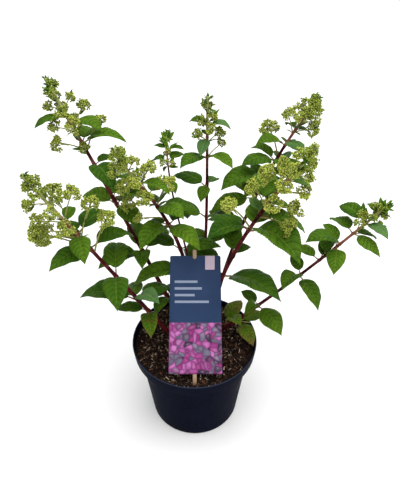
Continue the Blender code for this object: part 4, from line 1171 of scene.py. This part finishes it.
def grow_spray(root, way, along, row, young, ripe, rng):
    """One spray: a stalk, bunches on a dome round its end, small heads on each bunch, and buds on each."""
    reach, radius = row[2] / 1000, row[4] / 1000
    tip = root + way * reach
    t = np.linspace(0, 1, 8)[:, None]
    stem = root + way * reach * t + along * np.sin(np.pi * t) * reach * 0.05
    bunches = max(1, int(round((row[4] / 5.0) ** 2)))
    small = radius * np.clip(0.96 / math.sqrt(bunches), 0.33, 0.84)
    out = unit(fan_out(way, bunches, 112, rng.uniform(0, 6)) + rng.normal(0, 0.12, (bunches, 3)))
    middle = tip + out * (radius - small) * rng.uniform(0.55, 1.20, (bunches, 1))
    fork = root + way * reach * np.clip(rng.uniform(0.60, 1.05, (bunches, 1)), 0, 1)
    branch = bezier(fork, fork + way * radius * 0.35, middle - out * small * 0.25, 6)
    heads = int(np.clip(round(small * 1000 * 0.78), 2, 5))
    point = fan_out(out, heads, 100, rng.uniform(0, 6, bunches)).reshape(-1, 3)
    point = unit(point + rng.normal(0, 0.12, point.shape))
    base = np.repeat(middle - out * small * 0.25, heads, axis=0)
    away = point * max(small - 0.0018, 0.001) * rng.uniform(0.55, 1.30, (len(point), 1))
    head = np.repeat(middle, heads, axis=0) + away
    fine = bezier(base, base + np.repeat(out, heads, axis=0) * small * 0.35, head, 4)
    facing = fan_out(point, BUDS_PER_HEAD, 96, rng.uniform(0, 6, len(point))).reshape(-1, 3)
    facing = unit(facing + rng.normal(0, 0.12, facing.shape))
    centre = np.repeat(head, BUDS_PER_HEAD, axis=0)
    bud = centre + facing * rng.uniform(*BUD_STALKS, (len(facing), 1))
    tone = np.clip(rng.normal(ripe, 0.14) + rng.normal(0, 0.16, len(point)), 0, 1)
    return {
        "stem": np.concatenate([stem, tip[None] + way * radius * 0.35])[None],
        "stem_size": np.array([0.00050 + 0.016 * radius + 0.006 * reach]),
        "branch": branch, "fine": fine,
        "twig": np.stack([centre - np.repeat(point, BUDS_PER_HEAD, axis=0) * 0.0005, bud], axis=1),
        "bud": bud, "bud_way": facing, "bud_size": rng.uniform(*BUD_SIZES, len(bud)),
        "bud_tone": np.clip(np.repeat(tone, BUDS_PER_HEAD) + rng.normal(0, 0.10, len(bud)), 0, 1),
        "bud_young": young * rng.uniform(0.4, 1.1, len(bud)),
    }


def spray_growth(name, rng):
    """All sprays of a cane, each kind of piece joined into one array."""
    line, rows, bloom = LINES[name], SPRAYS[name], CANES[name]["bloom"]
    along, out, ways = stalk_ways(line, rows)
    roots = points_at(line, rows[:, 0])
    young = np.clip((rows[:, 0] - bloom) / max(1 - bloom, 0.01) * 2.2 - 1.1, 0, 1) * 0.9
    grown = [grow_spray(*each, BUD_TONE[name], rng) for each in zip(roots, ways, along, rows, young)]
    return {key: np.concatenate([spray[key] for spray in grown]) for key in grown[0]}


print("spray functions ready")

# %% [markdown]
# ## Flower stalks and buds as grids
# All flower stalks of one kind on a cane are one array of paths, and all its buds are one array of middles.
# A bud is a tube of five rings that closes at both ends: 20 faces, repeated some thousands of times.
# Copies of one bud would be lighter, but here each bud has its own size, direction and tone.

# %% Stem and bud grids
def stems_grid(paths, radii, sides, taper, blush, tint):
    """Thin closed tubes along many paths of equal length, with a taper along each."""
    first, second = [doubled_ends(side) for side in across_frames(paths)]
    thick = np.reshape(radii, (-1, 1)) * np.concatenate([[0], taper, [0]])
    grid = tube_grid(doubled_ends(paths), first, second, thick, sides)
    grid["place"], grid["paint"] = np.array([blush, 0, 0]), np.array([tint, 0, 0])
    return grid


def buds_grid(grown):
    """Buds: rings of radius 0, 0.8, 1, 0.62 and 0 of the size along the bud's own direction."""
    way, size = grown["bud_way"][:, None], grown["bud_size"][:, None]
    t = np.array([-1.0, -0.62, 0.1, 0.78, 1.12])
    path = grown["bud"][:, None] + way * (t * size)[..., None]
    grid = tube_grid(path, *square_to(way), np.array([0, 0.80, 1.0, 0.62, 0]) * size, 5)
    grid["place"] = together((t + 1) / 2.12, 0.0, 0.0)[:, None]
    grid["paint"] = together(grown["bud_tone"], grown["bud_young"], 0.0)[:, None, None]
    return grid


print("stem and bud functions ready")

# %% [markdown]
# ## Bracts
# Small narrow bracts stand at the roots of the sprays and crowd the tips of the canes, where the photograph
# shows dark little leaves between the buds. They could be rows of the leaf table, but their places follow
# from the sprays, so they are grown from those rows with the blade functions above.

# %% Bract growth
TUFT, BRACT_LENGTHS = 16, (0.0085, 0.0165)

# How much longer the bracts of four canes are; the heads of the first two are still mostly leaf
BRACT_SIZE = {"back_small": 1.5, "right_low": 1.45, "left_high": 1.15, "middle": 1.1}


def bract_leaves(name, rng):
    """Narrow bracts: one under each spray, one near the end of its stalk, and a tuft at the cane's tip."""
    line, rows, bloom = LINES[name], SPRAYS[name], CANES[name]["bloom"]
    rows = rows[rows[:, 0] >= bloom]
    extra = np.zeros((TUFT, 5))
    extra[:, 0] = 1 - (1 - bloom) * rng.uniform(0.02, 0.45, TUFT) ** 1.3
    extra[:, 1] = rng.uniform(0, 360, TUFT)
    at = np.concatenate([rows, rows, extra])
    out_along = np.concatenate([np.zeros(len(rows)), rng.uniform(0.60, 1.10, len(rows)), np.zeros(TUFT)])
    along, out, stalk = stalk_ways(line, at)
    root = points_at(line, at[:, 0]) + stalk * (at[:, 2] / 1000 * out_along)[:, None]
    swerve = rng.normal(0, 0.35, out.shape)
    steep = np.interp(at[:, 0], [bloom, 1], [0.45, 1.5])[:, None]
    way = unit(out * 0.85 + along * steep + swerve - [0, 0, 0.05])
    size = rng.uniform(*BRACT_LENGTHS, len(at)) * np.interp(at[:, 0], [bloom, 1], [1.15, 0.66])
    size = size * np.where(out_along > 0, 0.80, 1.0) * BRACT_SIZE.get(name, 1.0)
    size = np.minimum(size, 0.0050 + CANES[name]["length"] / 1000 * (1 - at[:, 0]) * 0.9)
    leaf = blades(root, np.degrees(np.arctan2(way[:, 1], way[:, 0])), np.degrees(np.arcsin(way[:, 2])),
                  rng.uniform(15, 60, len(size)), rng.normal(0, 15, len(size)), size,
                  width=0.38, stalk=0.10, veined=0.0)
    # Bracts get no damage and no painted sheen, and a darker tone
    for key, factor in (("damage", 0.0), ("painted_sheen", 0.0), ("tint", 0.6)):
        leaf[key] = leaf[key] * factor
    return leaf


print("bract function ready, with", TUFT, "bracts in each tuft")

# %% [markdown]
# ## The dressed canes
# Each cane now gets its foliage, its stalks and its buds, each kind as one piece with one finish.
# One mesh for the whole plant would be simpler, but it would grow too large, and it couldn't take the place
# of the source's masses one by one.

# %% Dress the canes
LEAF_TEETH, LEAF_COLUMNS, BRACT_TEETH, BRACT_COLUMNS = 28, 13, 7, 5

# Radius in metres, sides, taper at root and end, red blush and tone of each kind of flower stalk, where the
# main stem of a spray has its own radius
STEMS = {
    "stem": (None, 7, 1.15, 0.6, 0.22, 0.40), "branch": (0.00058, 4, 1.1, 0.75, 0.0, 0.60),
    "fine": (0.00054, 3, 1.1, 0.85, 0.0, 0.90), "twig": (0.00044, 3, 1.0, 0.85, 0.0, 1.0),
}

total = 0
for name, cane in CANES.items():
    rows, line = LEAVES[name], LINES[name]
    share, heading, rise, droop, roll, size = rows.T
    leaf = blades(points_at(line, share), heading, rise, droop, roll, size / 1000)
    leaf["tint"] = np.clip(leaf["tint"] - 0.15 * np.clip(1 - share * 1.6, 0, 1), 0, 1)
    if name == "low_shoot":
        leaf["damage"] = np.array([0.62, 0.30, 0.66, 0.45])
        leaf["tint"] = np.array([0.75, 1.0, 0.85, 0.55])
    if name == "left_low":
        leaf["damage"][1] = 0.42
    blush = np.clip(1.2 - share * 0.60 + FINE.normal(0, 0.12, len(rows)), 0.25, 1)
    foliage = [leaf_grid(leaf, LEAF_TEETH, LEAF_COLUMNS)]
    stalks = [stalk_grid(leaf, blush)]
    if cane["bloom"] < 1:
        bracts = bract_leaves(name, FINE)
        foliage.append(leaf_grid(bracts, BRACT_TEETH, BRACT_COLUMNS))
        grown = spray_growth(name, FINE)
        for kind, (radius, sides, low, high, red, tone) in STEMS.items():
            taper = np.linspace(low, high, grown[kind].shape[1])
            radii = grown["stem_size"] if kind == "stem" else radius
            stalks.append(stems_grid(grown[kind], radii, sides, taper, red, tone))
        make_piece("buds_" + name, [buds_grid(grown)], BUD, ["blossom_" + name])
        total += len(grown["bud"])
    make_piece("foliage_" + name, foliage, LEAF, ["leaves_" + name])
    make_piece("stalks_" + name, stalks, STALK)
print("buds in all", total)

# %% [markdown]
# ## Floor, light and camera
# The plant stands on a plain pale floor under broad soft light from above, as in a studio tent.
# A large area lamp gives the leaves their sheen, and a pale world fills the shade between them.
# The camera stands 59 cm in front of the pot's middle, 79 cm up, and looks down 38.6 degrees.

# %% Floor, light and camera
FLOOR_REACH = 4.0
CAMERA_SPOT, CAMERA_PITCH = (0.0083, -0.588, 0.792), 38.6
PICTURE_HEIGHT, FOCAL_PIXELS, SENSOR_MM = 500, 560, 36


def place_object(name, data, spot=(0, 0, 0), turn=(0, 0, 0)):
    """Object of some data, linked to the scene at a spot and with a turn about x, y and z."""
    obj = bpy.data.objects.new(name, data)
    obj.location, obj.rotation_euler = spot, turn
    bpy.context.scene.collection.objects.link(obj)
    return obj


make = Finish("pale_floor", 0.9)
make.give(make.shader["Base Color"], (0.93, 0.93, 0.93))
make.give(make.shader["Roughness"], make.calc("MULTIPLY_ADD", make.mottle(3.0, 0.2, 0.8), 0.04, 0.86))
floor_mesh = bpy.data.meshes.new("floor")
corners = [(x * FLOOR_REACH, y * FLOOR_REACH, 0) for x, y in ((-1, -1), (1, -1), (1, 1), (-1, 1))]
floor_mesh.from_pydata(corners, [], [range(4)])
floor_mesh.materials.append(make.material)
place_object("floor", floor_mesh)

world = bpy.data.worlds.new("studio")
world.use_nodes = True
background = world.node_tree.nodes["Background"].inputs
background["Color"].default_value = (0.97, 0.985, 1.0, 1)
background["Strength"].default_value = 0.53
bpy.context.scene.world = world


def lamp(name, spot, aim, size, power, colour):
    """Square area lamp at a spot, turned towards an aim."""
    data = bpy.data.lights.new(name, "AREA")
    data.size, data.energy, data.color = size, power, colour
    x, y, z = np.array(aim) - np.array(spot)
    turn = (math.pi / 2 + math.atan2(z, math.hypot(x, y)), 0, math.atan2(y, x) - math.pi / 2)
    place_object(name, data, spot, turn)


lamp("softbox_above", (0.35, -0.25, 3.6), (0.0, 0.20, 0.2), 4.6, 208, (1.0, 0.995, 0.98))

camera_data = bpy.data.cameras.new("camera")
camera_data.sensor_width, camera_data.clip_start = SENSOR_MM, 0.01
camera_data.lens = FOCAL_PIXELS / PICTURE_HEIGHT * SENSOR_MM
camera = place_object("camera", camera_data, CAMERA_SPOT, (math.radians(90 - CAMERA_PITCH), 0, 0))
bpy.context.scene.camera = camera
bpy.context.scene.view_settings.view_transform = "Standard"
print("camera at", CAMERA_SPOT, "lens", round(camera_data.lens, 2), "mm")
